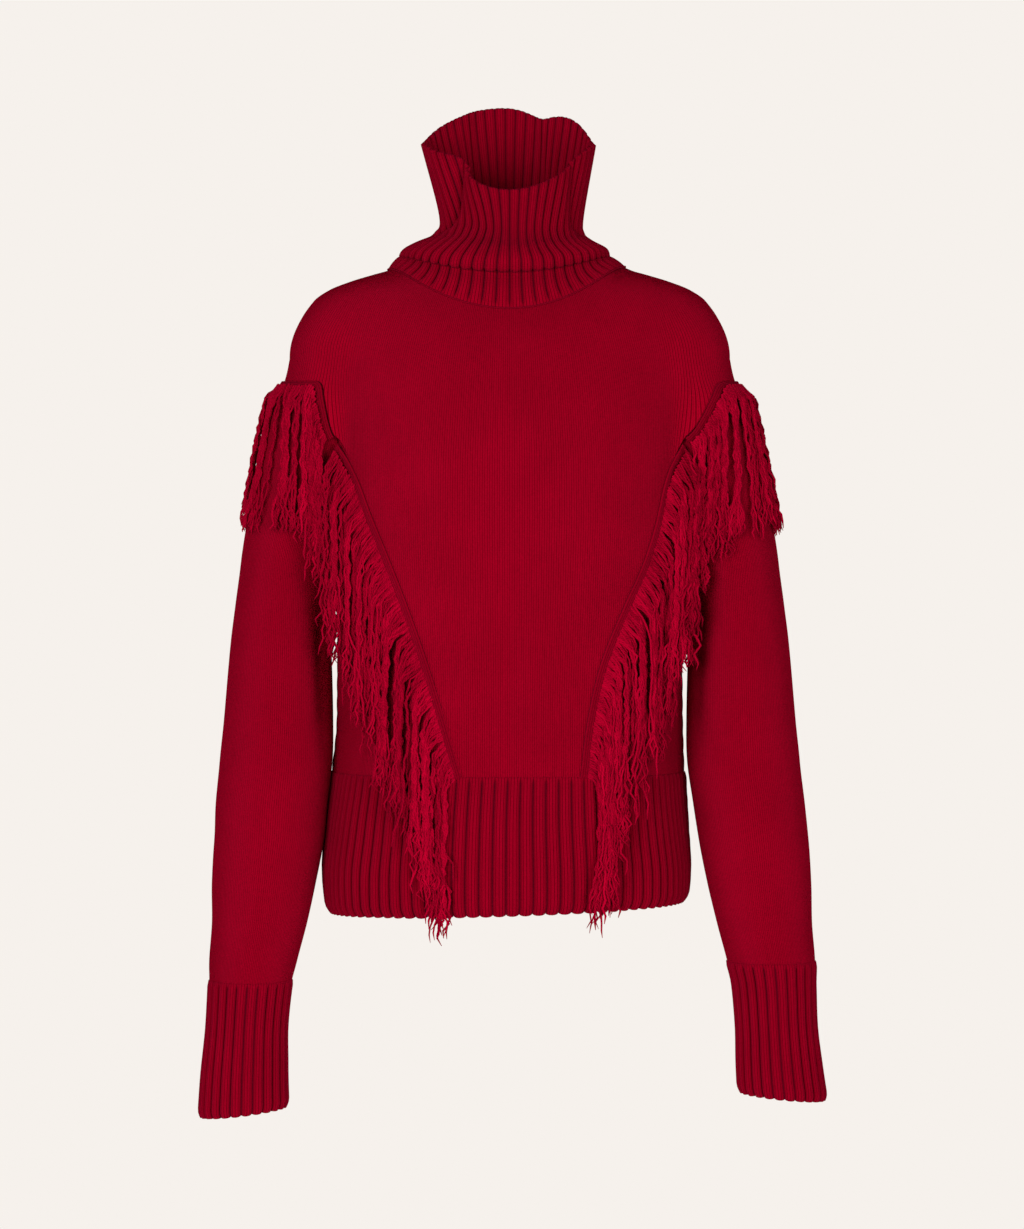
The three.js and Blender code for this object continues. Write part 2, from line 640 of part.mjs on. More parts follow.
function cuff(side) {
  const rings = [0, 0.3, 0.65, 1].map((down) => (share) => {
    const angle = 360 * share;
    const tilt = CUFF_TILT[side] * down * (1 - Math.cos(radians(angle))) * 0.5;
    const top = CUFF_TOP[side] - SEAM_GAP;
    const point = armPoint(SIDES[side], angle, mix(top, CUFF_BOTTOM[side], down) + tilt);
    return { point, facing: gradient(armDistance, point).normalize() };
  });
  return ribbedTube(rings, CUFF_RIBS, RIB_TUBE_INSIDE.cuff);
}

// Collar

// A ring of the collar by its angle from the front towards the right.
function collarRing(ring, angle) {
  const [across, ahead] = [Math.sin(radians(angle)), Math.cos(radians(angle))];
  const z = mix(ring.zSide, ahead < 0 ? ring.zBack : ring.zFront, ahead ** 2);
  const reach = across < 0 ? ring.left : ring.right;
  return vec(reach * across, -ahead * (ahead < 0 ? ring.back : ring.front), z);
}

// The same between two rings, with the collar's waves. The level counts rings from the seam.
function collarPoint(level, angle) {
  const index = Math.min(Math.floor(level), COLLAR.length - 2);
  const start = index === 0 ? neckPoint(angle) : collarRing(COLLAR[index], angle);
  const p = start.lerp(collarRing(COLLAR[index + 1], angle), level - index);
  const share = smoothstep((level - COLLAR_WAVES_FROM) / (COLLAR.length - 1 - COLLAR_WAVES_FROM));
  for (const { angle: at, width, lift, push } of COLLAR_WAVES) {
    const away = ((angle - at + 540) % 360) - 180;
    const strength = share * Math.exp(-((away / width) ** 2));
    p.z += lift * strength;
    p.addScaledVector(vec(p.x, p.y, 0).normalize(), -push * strength);
  }
  return p;
}

function collar() {
  const last = COLLAR.length - 1;
  const rings = COLLAR.map((_, level) => (share) => {
    const angle = 360 * share;
    const start = collarPoint(level, angle);
    const next = collarPoint(Math.min(last, level + 0.4), angle);
    const before = collarPoint(Math.max(0, level - 0.4), angle);
    const up = next.sub(before).normalize();
    const round = collarPoint(level, angle + 2).sub(collarPoint(level, angle - 2)).normalize();
    const point = start.addScaledVector(up, level === 0 ? SEAM_GAP : 0);
    return { point, facing: round.cross(up).normalize() };
  });
  return ribbedTube(rings, COLLAR_RIBS, RIB_TUBE_INSIDE.collar);
}

// Fringe

// Points along a strand: it leaves the band square to it, turns down over its throw, and stays
// clear of what it hangs on.
function strandPath(root, away, throwOut, length, clear) {
  const stops = STRAND_STOPS.map((share) => share * length);
  const path = [root];
  const p = root.clone();
  for (let gone = 0; path.length <= stops.length; gone += STRAND_STEP) {
    if (gone >= stops[path.length - 1]) path.push(p.clone());
    const turned = smoothstep(gone / (2 * throwOut));
    const way = away.clone().multiplyScalar(1 - turned).add(vec(0, 0, -turned - STRAND_DROOP)).normalize();
    p.addScaledVector(way, STRAND_STEP);
    const wanted = clear * smoothstep((gone + STRAND_STEP) / (STRAND_RISE + clear));
    const now = drapeDistance(p);
    if (now < wanted) p.addScaledVector(gradient(drapeDistance, p).normalize(), wanted - now);
  }
  return path;
}

// A three-sided tapering strand, flat side towards the body.
function strand(path) {
  const [points, triangles] = [[], []];
  const rings = path.map((p, k) => {
    const along = path[Math.min(k + 1, path.length - 1)].clone().sub(path[Math.max(k - 1, 0)]).normalize();
    const out = gradient(drapeDistance, p).projectOnPlane(along).normalize();
    const across = along.clone().cross(out);
    return [0, 120, 240].map((degrees) => {
      const a = radians(degrees);
      const spoke = out.clone().multiplyScalar(Math.cos(a)).addScaledVector(across, Math.sin(a));
      return points.push(p.clone().addScaledVector(spoke, STRAND_RADII[k])) - 1;
    });
  });
  for (let k = 0; k < rings.length - 1; k += 1) joinRings(rings[k], rings[k + 1], triangles, false);
  const [first, last] = [rings[0], rings.at(-1)];
  triangles.push([first[0], first[2], first[1]], [last[0], last[1], last[2]]);
  return closedMesh(points, triangles);
}

// A narrow strip along a seam, raised off its panel, with strands fused into its outer edge.
// Each row gives the seam's point and the panel's next point across from it.
function fringe(rows, { throwAt, layers, lengthMm, seed }) {
  const random = seededRandom(seed);
  const edge = (share, lift) =>
    rows.map(([p, next]) => {
      const reach = BAND_WIDTH * share + BAND_FROM_SEAM;
      const q = p.clone().addScaledVector(next.clone().sub(p).normalize(), reach);
      return q.addScaledVector(normalAt(p.clone().lerp(next, 0.1)), lift);
    });
  const top = [edge(0, BAND_LIFT + BAND_CLOTH), edge(1, BAND_LIFT + BAND_CLOTH)];
  const under = [edge(0, BAND_LIFT), edge(1, BAND_LIFT)];
  let solid = solidOf(wall(top, under, false));
  const line = (points) => new THREE.CatmullRomCurve3(points, false, "catmullrom", BAND_TENSION);
  const roots = line(edge(BAND_ROOTS, BAND_LIFT + BAND_CLOTH / 2));
  const aims = line(edge(BAND_AIM, BAND_LIFT + BAND_CLOTH));
  for (let k = 0; k < FRINGE_STRANDS; k += 1) {
    const share = mix(FRINGE_ENDS.first, FRINGE_ENDS.last, k / (FRINGE_STRANDS - 1));
    const root = roots.getPoint(share);
    const away = aims.getPoint(share).sub(root).normalize();
    const { shortest, longest } = FRINGE_LENGTH_SHARES;
    const length = lengthMm * mix(shortest, longest, random());
    const path = strandPath(root, away, throwAt(share), length, layers[k % layers.length]);
    solid = solid.add(solidOf(strand(path)));
  }
  return geometryOf(solid);
}

// A repeatable series of numbers from 0 to 1.
function seededRandom(seed) {
  let state = seed;
  return () => {
    state = (state * 16807) % 2147483647;
    return state / 2147483647;
  };
}

function solidOf(geometry) {
  return new wasm.Manifold(
    new wasm.Mesh({
      numProp: 3,
      vertProperties: new Float32Array(geometry.getAttribute("position").array),
      triVerts: new Uint32Array(geometry.getIndex().array),
    }),
  );
}

function geometryOf(solid) {
  const mesh = solid.getMesh();
  const geometry = new THREE.BufferGeometry();
  geometry.setAttribute("position", new THREE.Float32BufferAttribute(mesh.vertProperties, 3));
  geometry.setIndex([...mesh.triVerts]);
  return geometry;
}

// The sweater

const PLAIN_KNIT = new THREE.MeshStandardMaterial({ color: 0x8f001e, roughness: 0.95 });
const RIB_KNIT = new THREE.MeshStandardMaterial({ color: 0x8a001c, roughness: 0.95 });
const FRINGE_YARN = new THREE.MeshStandardMaterial({ color: 0xa30424, roughness: 0.9 });

const sweater = new THREE.Group();

function addPiece(name, geometry, material) {
  const mesh = new THREE.Mesh(geometry, material);
  mesh.name = name;
  sweater.add(mesh);
}

const seams = { left: seamsOf("left"), right: seamsOf("right") };

addPiece("front_panel", knitWall(frontPanel(seams.left, seams.right)), PLAIN_KNIT);
addPiece("back_panel", knitWall(backPanel(seams.left, seams.right)), PLAIN_KNIT);
addPiece("hem_rib", hemRib(), RIB_KNIT);
addPiece("collar", collar(), RIB_KNIT);

for (const side of Object.keys(SIDES)) {
  const panel = sidePanel(seams[side], side);
  const sleeve = sleeveTube(seams[side], side);
  addPiece(`side_front_${side}`, knitWall(panel), PLAIN_KNIT);
  addPiece(`sleeve_${side}`, knitWall(sleeve, true), PLAIN_KNIT);
  addPiece(`cuff_${side}`, cuff(side), RIB_KNIT);

  // Beside the front seam, which is the side panel's last column on the left and first on the right
  const [column, next] = side === "left" ? [panel[0].length - 1, panel[0].length - 2] : [0, 1];
  const beside = panel.map((row) => [row[column], row[next]]).slice(0, -1);
  const frontFringe = {
    throwAt: (t) => mix(FRINGE_THROW.ends, FRINGE_THROW.middle, Math.sin(Math.PI * t)),
    layers: FRINGE_LAYERS.front,
    lengthMm: FRINGE_LENGTHS.front,
    seed: FRINGE_SEEDS.front + SIDES[side],
  };
  addPiece(`fringe_front_${side}`, fringe(beside, frontFringe), FRINGE_YARN);

  // Below the dropped shoulder seam, from the front of the arm over its outer side to the back
  const over = steps(2 * CAP_FRINGE_STEPS, (_, k) => (k - CAP_FRINGE_STEPS + ARMHOLE_STEPS) % ARMHOLE_STEPS);
  const under = over.map((k) => [sleeve[0][k], sleeve[1][k]]);
  const capFringe = {
    throwAt: () => FRINGE_THROW.sleeve,
    layers: FRINGE_LAYERS.sleeve,
    lengthMm: FRINGE_LENGTHS.sleeve,
    seed: FRINGE_SEEDS.sleeve + SIDES[side],
  };
  addPiece(`fringe_sleeve_${side}`, fringe(under, capFringe), FRINGE_YARN);
}

export default sweater;
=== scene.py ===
"""A fringed turtleneck sweater in deep crimson wool, filled out as if worn, with no wearer inside.

Shapes are worked out in millimetres, with +Z up, +Y to the back and left at -X as seen from the
front, and turned to metres when a mesh is made. The origin is at the base of the neck.
"""

import math

import bpy
import numpy as np
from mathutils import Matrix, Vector


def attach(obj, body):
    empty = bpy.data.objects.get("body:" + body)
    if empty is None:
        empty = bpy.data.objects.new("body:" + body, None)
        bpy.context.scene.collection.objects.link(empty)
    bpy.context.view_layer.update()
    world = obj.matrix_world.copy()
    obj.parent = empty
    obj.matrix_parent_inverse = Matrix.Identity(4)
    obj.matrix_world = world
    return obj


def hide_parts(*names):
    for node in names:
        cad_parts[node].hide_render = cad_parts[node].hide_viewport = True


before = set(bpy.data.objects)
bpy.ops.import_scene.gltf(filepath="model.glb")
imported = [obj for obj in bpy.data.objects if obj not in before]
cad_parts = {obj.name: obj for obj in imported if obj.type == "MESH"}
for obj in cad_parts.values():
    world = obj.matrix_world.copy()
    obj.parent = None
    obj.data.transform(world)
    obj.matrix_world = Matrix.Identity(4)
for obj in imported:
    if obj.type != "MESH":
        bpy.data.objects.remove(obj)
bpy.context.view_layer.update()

MM = 0.001

# Camera

PHOTO_HEIGHT = 1229  # pixels
PIXEL = 0.9  # how wide a pixel is at the sweater's middle plane, in millimetres
CAMERA_AT = (2, -3200, -310)
SENSOR = 36


def place_camera():
    data = bpy.data.cameras.new("camera")
    data.sensor_width = SENSOR
    data.lens = SENSOR * -CAMERA_AT[1] / (PHOTO_HEIGHT * PIXEL)
    camera = bpy.data.objects.new("camera", data)
    camera.location = Vector(CAMERA_AT) * MM
    camera.rotation_euler = (math.radians(90), 0, 0)
    bpy.context.collection.objects.link(camera)
    bpy.context.scene.camera = camera


place_camera()

# Sizes

CLOTH = 2.6  # thickness of the plain knit
RIB_CLOTH = 2.2  # thickness of the ribbed knit in its furrows
RIB_RISE = 1.7  # how far a rib stands out
FURROW = 1.1  # how far the furrows sink below the middle of the ribbed cloth
SEAM_GAP = 0.12
HEM_RIBS = 85
CUFF_RIBS = 24
COLLAR_RIBS = 54
HEM_TOP = -452
HEM_BOTTOM = -572
HEM_TILT = 5  # the hem's edge is this much higher on the right and lower on the left
CAP_HEIGHT = -99  # the dropped shoulder seam on the outer side of the arm
CAP_DIP = 4
CAP_TURN = {"left": 72, "right": 40}  # how far round the front of the arm it turns down, degrees
ARMPIT = -252
CUFF_TOP = {"left": -636, "right": -619}
CUFF_BOTTOM = {"left": -757, "right": -742}
CUFF_TILT = {"left": 9, "right": 7}
SIDES = {"left": -1, "right": 1}


class Sections:
    """A stack of oval sections, read at any height with slopes that never overshoot its rows."""

    def __init__(self, names, rows):
        self.names = names.split()
        table = np.array(rows[::-1], float)
        self.z, self.values = table[:, 0], table[:, 1:]
        slopes = np.diff(self.values, axis=0) / np.diff(self.z)[:, None]
        before, after = slopes[:-1], slopes[1:]
        alike = before * after > 0
        middle = np.where(alike, 2 * before * after / np.where(alike, before + after, 1), 0)
        self.slopes = np.vstack([slopes[:1], middle, slopes[-1:]])

    def at(self, z):
        z = np.clip(z, self.z[0], self.z[-1])
        i = np.clip(np.searchsorted(self.z, z, side="right") - 1, 0, len(self.z) - 2)
        step = (self.z[i + 1] - self.z[i])[..., None]
        t = (z - self.z[i])[..., None] / step
        rise = 3 * t**2 - 2 * t**3
        found = self.values[i] * (1 - rise) + self.values[i + 1] * rise
        found += self.slopes[i] * step * (t**3 - 2 * t**2 + t)
        found += self.slopes[i + 1] * step * (t**3 - t**2)
        return dict(zip(self.names, np.moveaxis(found, -1, 0)))


# Half the width, the depth in front of and behind the middle plane, the power of the oval, and how
# far its middle leans to the right
TORSO = Sections(
    "half front back power lean",
    [
        (14, 84, 46, 64, 2, 0),
        (6, 97, 55, 70, 2, 0),
        (0, 108, 61, 75, 2, 0),
        (-4, 122, 64, 78, 2, 0),
        (-10, 142, 68, 82, 2, 0),
        (-18, 162, 73, 87, 2, 0),
        (-28, 174, 79, 91, 2, 0),
        (-42, 178, 86, 97, 2, 0),
        (-64, 178.5, 95, 102, 2, 0),
        (-100, 175, 106, 107, 2.05, 0),
        (-140, 167, 114, 110, 2.1, 0),
        (-180, 161, 119, 110, 2.15, 0),
        (-220, 158, 120, 107, 2.2, 0),
        (-262, 156, 118, 103, 2.2, 0),
        (-310, 152, 115, 98, 2.2, 0),
        (-360, 149, 111, 95, 2.2, 0),
        (-405, 148, 109, 94, 2.2, 0),
        (-452, 151, 109, 95, 2.2, -1.5),
        (-500, 157, 111, 98, 2.2, -3),
        (-545, 162, 113, 101, 2.2, -3.2),
        (-580, 160, 111, 100, 2.2, -3.2),
    ],
)
# The centre's distance from the middle plane, half the width, half the depth, how far the centre
# lies behind the middle plane, and how much closer in the left arm hangs
ARM = Sections(
    "out half depth behind left_in",
    [
        (-80, 151, 46, 50, 0, 0),
        (-99, 156, 46, 52, 0, 0),
        (-118, 166, 46.5, 54, 0, 0),
        (-150, 175, 47, 56, 0, 0),
        (-195, 185, 45.5, 57, 0, 0),
        (-240, 196, 42.5, 57, 0, 0),
        (-265, 201.5, 40.5, 56, 0, 0),
        (-300, 204, 42.5, 57, -1, 0),
        (-333, 205.5, 45, 58, -3, 0),
        (-405, 207.5, 49, 58, -8, 0),
        (-441, 209.5, 50.5, 57, -11, 0),
        (-477, 214, 50, 56, -14, 0.8),
        (-513, 218.5, 49, 54, -17, 3),
        (-549, 223, 46.5, 51, -20, 3.2),
        (-585, 227.5, 42.5, 47, -23, 4),
        (-621, 233.5, 39, 42, -26, 4.2),
        (-640, 235.5, 36.5, 38, -28, 4),
        (-675, 237.5, 35.5, 33, -30, 3.3),
        (-711, 240, 37.3, 31, -32, 4),
        (-760, 245, 39.8, 32, -34, 8),
    ],
)
ARM_TOP = -80
SHOULDER_DOME = 46  # the arm closes over its first section as a dome of this height
CREASE = {"radius": 20, "fade": 70}  # how softly sleeve and body meet, and over what height that grows
EASED_RADIUS = 8
DRAPE_RADIUS = 44
SETTLING = {"rounds": 10, "least_slope": 0.05}
CAST_STEP = 3.0  # how far a ray goes at a time
HALVINGS = {"cast": 16, "crease": 30}  # how often the stretch that holds a crossing is halved
SHOULDER_HUB = {"out": 132, "z": -82}  # inside, where the shoulder seam's points fan out from
SPREAD = {"half": 165, "depth": 105}  # the oval whose angles spread a panel's points
EVENINGS = 200  # rounds that even out the front panel's points
EVENING = 0.8  # how far each round moves them

# Points of the front seams, from the hem up: distance from the middle plane, and height
FRONT_SEAMS = {
    "left": [(40, -452), (54, -404), (70, -352), (88, -301), (105, -258), (120, -222), (132, -191)],
    "right": [(60, -452), (66, -404), (78, -352), (98, -303), (114, -268), (126, -232), (136, -190)],
}

# Small maths on arrays of points


def mix(a, b, t):
    return a + (b - a) * t


def smoothstep(t):
    s = np.clip(t, 0, 1)
    return s * s * (3 - 2 * s)


def length_of(v):
    return np.linalg.norm(v, axis=-1, keepdims=True)


def unit(v):
    return v / np.maximum(length_of(v), 1e-9)


def points(x, y, z):
    return np.stack(np.broadcast_arrays(np.asarray(x, float), y, z), axis=-1)


SPLINE_POINTS = 400


def spline(guides, shares):
    """Points at even shares of the length of a smooth curve through the guides."""
    guides = np.asarray(guides, float)
    knots = np.concatenate([[0], np.cumsum(length_of(np.diff(guides, axis=0))[:, 0] ** 0.5)])
    slopes = np.gradient(guides, knots, axis=0)
    dense = np.linspace(0, knots[-1], SPLINE_POINTS)
    i = np.clip(np.searchsorted(knots, dense, side="right") - 1, 0, len(knots) - 2)
    step = (knots[i + 1] - knots[i])[:, None]
    t = (dense - knots[i])[:, None] / step
    rise = 3 * t**2 - 2 * t**3
    curve = guides[i] * (1 - rise) + guides[i + 1] * rise
    curve += slopes[i] * step * (t**3 - 2 * t**2 + t) + slopes[i + 1] * step * (t**3 - t**2)
    along = np.concatenate([[0], np.cumsum(length_of(np.diff(curve, axis=0))[:, 0])])
    wanted = np.asarray(shares) * along[-1]
    return np.stack([np.interp(wanted, along, curve[:, k]) for k in range(curve.shape[1])], axis=-1)


# The body's outer face: a torso and two arms, blended where they meet


def torso_distance(p):
    s = TORSO.at(p[..., 2])
    depth = np.where(p[..., 1] < 0, s["front"], s["back"])
    reach = (np.abs(p[..., 0] - s["lean"]) / s["half"]) ** s["power"]
    reach += (np.abs(p[..., 1]) / depth) ** s["power"]
    return (reach ** (1 / s["power"]) - 1) * np.minimum(s["half"], depth)


def arm_distance(p):
    s = ARM.at(p[..., 2])
    above = np.maximum(0, p[..., 2] - ARM_TOP) / SHOULDER_DOME
    out = s["out"] - np.where(p[..., 0] < 0, s["left_in"], 0)
    across = (np.abs(p[..., 0]) - out) / s["half"]
    reach = np.sqrt(across**2 + ((p[..., 1] - s["behind"]) / s["depth"]) ** 2 + above**2)
    return (reach - 1) * np.minimum(s["half"], s["depth"])


def blend(a, b, radius):
    h = np.maximum(radius - np.abs(a - b), 0) / radius
    return np.minimum(a, b) - h * h * radius / 4


def crease_radius(p):
    return CREASE["radius"] * smoothstep((p[..., 2] - ARMPIT) / CREASE["fade"])


def body_distance(p):
    return blend(torso_distance(p), arm_distance(p), np.maximum(0.1, crease_radius(p)))


def eased_distance(p):
    """The same with every crease eased, which gives the way a wall faces."""
    return blend(torso_distance(p), arm_distance(p), np.maximum(EASED_RADIUS, crease_radius(p)))


def drape_distance(p):
    """What the fringe lies on, with the gap between body and sleeve bridged."""
    return blend(torso_distance(p), arm_distance(p), DRAPE_RADIUS)


def gradient(distance, p, h=0.4):
    steps = np.eye(3) * h
    return np.stack([distance(p + s) - distance(p - s) for s in steps], axis=-1) / (2 * h)


def settle(p):
    """Moves points on to the body's outer face."""
    for _ in range(SETTLING["rounds"]):
        g = gradient(body_distance, p)
        size = np.maximum((g * g).sum(-1), SETTLING["least_slope"])
        p = p - g * (body_distance(p) / size)[..., None]
    return p


def cast_out(start, way, distance=body_distance):
    """Where rays from inside first come out."""
    start, way = np.broadcast_arrays(np.asarray(start, float), way)
    far = np.full(start.shape[:-1], CAST_STEP)
    inside = np.ones(far.shape, bool)
    while inside.any():
        inside &= distance(start + way * far[..., None]) < 0
        far = np.where(inside, far + CAST_STEP, far)
    near = far - CAST_STEP
    for _ in range(HALVINGS["cast"]):
        middle = (near + far) / 2
        within = distance(start + way * middle[..., None]) < 0
        near, far = np.where(within, middle, near), np.where(within, far, middle)
    return start + way * near[..., None]


def arm_point(side, angle, z):
    """A point on the arm, at an angle from straight outwards (0) by the front (90) to the torso (180)."""
    s = ARM.at(np.asarray(z, float))
    a = np.radians(angle)
    out = s["out"] - (s["left_in"] if SIDES[side] < 0 else 0)
    return points(SIDES[side] * (out + s["half"] * np.cos(a)), s["behind"] - s["depth"] * np.sin(a), z)


def torso_point(angle, z):
    """A point on the torso at a height, by its angle from the front towards the right."""
    angle, z = np.broadcast_arrays(np.asarray(angle, float), np.asarray(z, float))
    s = TORSO.at(z)
    across, ahead = np.sin(np.radians(angle)), np.cos(np.radians(angle))
    way = points(s["half"] * across, -ahead * np.where(ahead > 0, s["front"], s["back"]), 0)
    return cast_out(points(s["lean"], 0, z), unit(way), torso_distance)


def torso_angle(p):
    s = TORSO.at(p[2])
    depth = s["front" if p[1] < 0 else "back"]
    return math.degrees(math.atan2((p[0] - s["lean"]) / s["half"], -p[1] / depth))


# Soft folds of the cloth: points that each runs through, how wide and how high it is
# (below 0 for a trough), and whether it lies on the body, the sleeves or both
FOLDS = [
    # Where the front's cloth turns into the armholes
    ([(-172, -62, -64), (-163, -68, -98), (-152, -74, -150)], 9, -6.0, "both"),
    ([(-150, -88, -72), (-143, -92, -105), (-136, -96, -150)], 13, 2.5, "body"),
    ([(170, -62, -52), (167, -66, -95), (160, -70, -140)], 8, -5.5, "both"),
    ([(152, -84, -60), (149, -92, -104), (143, -96, -150)], 12, 2.5, "body"),
    # Where the sides are full behind the sleeves
    ([(-152, 8, -310), (-153, 10, -400), (-150, 12, -540)], 32, 9.0, "body"),
    ([(152, 8, -310), (153, 10, -400), (150, 12, -540)], 32, 9.0, "body"),
    # Shallow drags from the armholes into the chest, and down the belly
    ([(-128, -90, -150), (-100, -105, -190), (-62, -115, -215)], 17, -1.8, "body"),
    ([(126, -90, -158), (96, -107, -186), (60, -115, -200)], 15, -1.5, "body"),
    ([(-30, -112, -300), (-40, -112, -380), (-46, -112, -470)], 20, 1.8, "body"),
    ([(26, -112, -330), (34, -112, -420), (30, -112, -520)], 22, -1.8, "body"),
    ([(-112, -85, -440), (-118, -82, -500), (-116, -82, -575)], 16, -2.6, "body"),
    ([(-78, -100, -455), (-82, -98, -520), (-86, -98, -575)], 13, 2.0, "body"),
    ([(104, -88, -430), (110, -86, -500), (108, -86, -575)], 17, -2.4, "body"),
    ([(72, -100, -450), (76, -98, -520), (80, -98, -575)], 13, 1.8, "body"),
    # Sleeves: the inner side folds in below the armpit, and the elbow gives a few soft bends
    ([(-166, -30, -300), (-164, -34, -360), (-168, -36, -430)], 13, -4.5, "sleeve"),
    ([(166, -30, -300), (164, -34, -360), (168, -36, -430)], 13, -4.5, "sleeve"),
    ([(-176, -52, -410), (-205, -64, -440), (-232, -58, -455)], 12, -2.2, "sleeve"),
    ([(-180, -56, -470), (-208, -70, -490), (-238, -60, -510)], 14, 1.8, "sleeve"),
    ([(178, -52, -425), (204, -66, -446), (236, -58, -462)], 12, -2.2, "sleeve"),
    ([(184, -58, -520), (214, -70, -540), (246, -56, -548)], 15, -1.8, "sleeve"),
    ([(-214, -66, -520), (-222, -68, -570), (-230, -66, -618)], 12, 1.6, "sleeve"),
    ([(212, -66, -330), (214, -68, -380), (216, -68, -430)], 15, 1.8, "sleeve"),
    # Behind: drags from the armholes to the shoulder blades, and soft falls down to the hem
    ([(-168, 62, -72), (-160, 70, -105), (-150, 74, -155)], 10, -5.0, "both"),
    ([(168, 62, -68), (160, 70, -102), (150, 74, -150)], 10, -5.0, "both"),
    ([(-130, 80, -160), (-96, 100, -200), (-52, 108, -232)], 16, -2.4, "body"),
    ([(132, 78, -150), (102, 96, -185), (66, 106, -208)], 15, -2.1, "body"),
    ([(-40, 105, -250), (-52, 98, -340), (-48, 94, -450)], 21, 2.2, "body"),
    ([(44, 104, -290), (40, 98, -380), (54, 96, -520)], 20, -2.3, "body"),
    ([(-92, 86, -380), (-96, 82, -460), (-98, 84, -575)], 17, -2.5, "body"),
    ([(104, 82, -400), (100, 80, -480), (104, 82, -575)], 16, 2.2, "body"),
    # Behind the elbows
    ([(-182, 46, -400), (-210, 52, -425), (-240, 44, -430)], 11, -3.2, "sleeve"),
    ([(-184, 42, -450), (-212, 46, -462), (-242, 36, -485)], 13, -2.6, "sleeve"),
    ([(184, 46, -385), (212, 52, -412), (244, 42, -420)], 12, -3.0, "sleeve"),
    ([(188, 40, -462), (216, 44, -480), (246, 34, -492)], 11, -2.4, "sleeve"),
]


FOLD_POINTS = 15
FOLD_ENDS = (0.12, 0.88)  # the stretch of a half wave over which a fold swells and fades


def fold_height(p, where):
    total = np.zeros(p.shape[:-1])
    for guides, width, height, part in FOLDS:
        if part not in (where, "both"):
            continue
        shares = np.linspace(0, 1, FOLD_POINTS)
        line = spline(guides, shares)
        strength = np.sin(np.pi * mix(*FOLD_ENDS, shares))
        away = length_of(p[..., None, :] - line)[..., 0]
        total += height * (strength * np.exp(-((away / width) ** 2))).max(-1)
    return total


# Seams


class Cut:
    """How many steps each seam has, for a coarse or fine panel."""

    def __init__(self, fineness):
        self.armhole = 24 * fineness
        self.junction = 8 * fineness
        self.armpit = 12 * fineness
        self.seam = 8 * fineness
        self.ridge = 6 * fineness
        self.neck = 8 * fineness
        self.hem_front = 4 * fineness


# How far below the armpit the crease is looked for, how far under it the seam lies and how far to
# its own side, and how the cap's edge curves down to it
ARMHOLE = {"below_armpit": 10.0, "under": 1, "apart": 0.3, "drop_power": 1.4}


def crease_height(angle):
    """The height where the arm's face at this angle comes out of the torso."""
    high = np.full(np.shape(angle), float(CAP_HEIGHT))
    low = np.full(np.shape(angle), ARMPIT - ARMHOLE["below_armpit"])
    for _ in range(HALVINGS["crease"]):
        middle = (high + low) / 2
        within = torso_distance(arm_point("right", angle, middle)) < 0
        high, low = np.where(within, middle, high), np.where(within, low, middle)
    return low


def armhole(side, cut, towards):
    """Over the outer arm at the dropped shoulder, then down the crease to the armpit and back up."""
    around = np.linspace(0, 360, cut.armhole + 1)
    turned = np.where(around > 180, around - 360, around)
    inward = np.abs(turned)
    junction = 360 * cut.junction / cut.armhole
    cap = CAP_HEIGHT - CAP_DIP * np.sin(np.radians(np.minimum(inward, 90)))
    drop = smoothstep((inward - CAP_TURN[side]) / (junction - CAP_TURN[side])) ** ARMHOLE["drop_power"]
    over = settle(arm_point(side, turned, mix(cap, crease_height(junction * np.sign(turned)), drop)))
    p = arm_point(side, turned, crease_height(turned) - ARMHOLE["under"])
    apart = unit(gradient(torso_distance, p)) - unit(gradient(arm_distance, p))
    crease = p + unit(apart) * towards * ARMHOLE["apart"]
    return np.where((inward < junction)[:, None], over, crease)


def neck_point(angle):
    return settle(collar_ring(COLLAR[0], angle))


def shoulder_seam(side, cut, cap):
    sign = SIDES[side]
    neck = neck_point(np.array(sign * 90.0))
    hub = (sign * SHOULDER_HUB["out"], SHOULDER_HUB["z"])
    start, end = (math.atan2(p[2] - hub[1], sign * (p[0] - hub[0])) for p in (neck, cap))
    share = np.linspace(0, 1, cut.ridge + 1)
    turn = mix(start, end, share)
    row = cast_out(
        points(hub[0], mix(neck[1], cap[1], share), hub[1]),
        points(sign * np.cos(turn), 0, np.sin(turn)),
    )
    row[0], row[-1] = neck, cap
    return row


def front_seam(side, cut, top):
    guide = [(SIDES[side] * out, z) for out, z in FRONT_SEAMS[side]] + [(top[0], top[2])]
    line = spline(guide, np.linspace(0, 1, cut.seam + 1))
    row = cast_out(points(line[:, 0], 0, line[:, 1]), np.array([0, -1.0, 0]), torso_distance)
    row[-1] = top
    return row


def side_seam(side, cut, armpit):
    row = torso_point(SIDES[side] * 90, np.linspace(HEM_TOP, ARMPIT, cut.seam + 1))
    row[-1] = armpit
    return row


def seams_of(side, cut):
    body = armhole(side, cut, -1)
    return {
        "body": body,
        "sleeve": armhole(side, cut, 1),
        "front": front_seam(side, cut, body[cut.junction]),
        "side": side_seam(side, cut, body[cut.armpit]),
        "shoulder": shoulder_seam(side, cut, body[0]),
    }


# Panels, each a grid of points between its seams


class RoundTheBody:
    """Spreads a panel's points by their angle round the body and their height."""

    def __init__(self, facing):
        self.facing = facing

    def place(self, p):
        angle = np.arctan2(p[:, 0] / SPREAD["half"], self.facing * p[:, 1] / SPREAD["depth"])
        return np.stack([angle, p[:, 2]], axis=-1)

    def point(self, place, distance):
        angle, height = place[..., 0], place[..., 1]
        way = points(SPREAD["half"] * np.sin(angle), self.facing * SPREAD["depth"] * np.cos(angle), 0)
        return cast_out(points(0, 0, height), unit(way), distance)


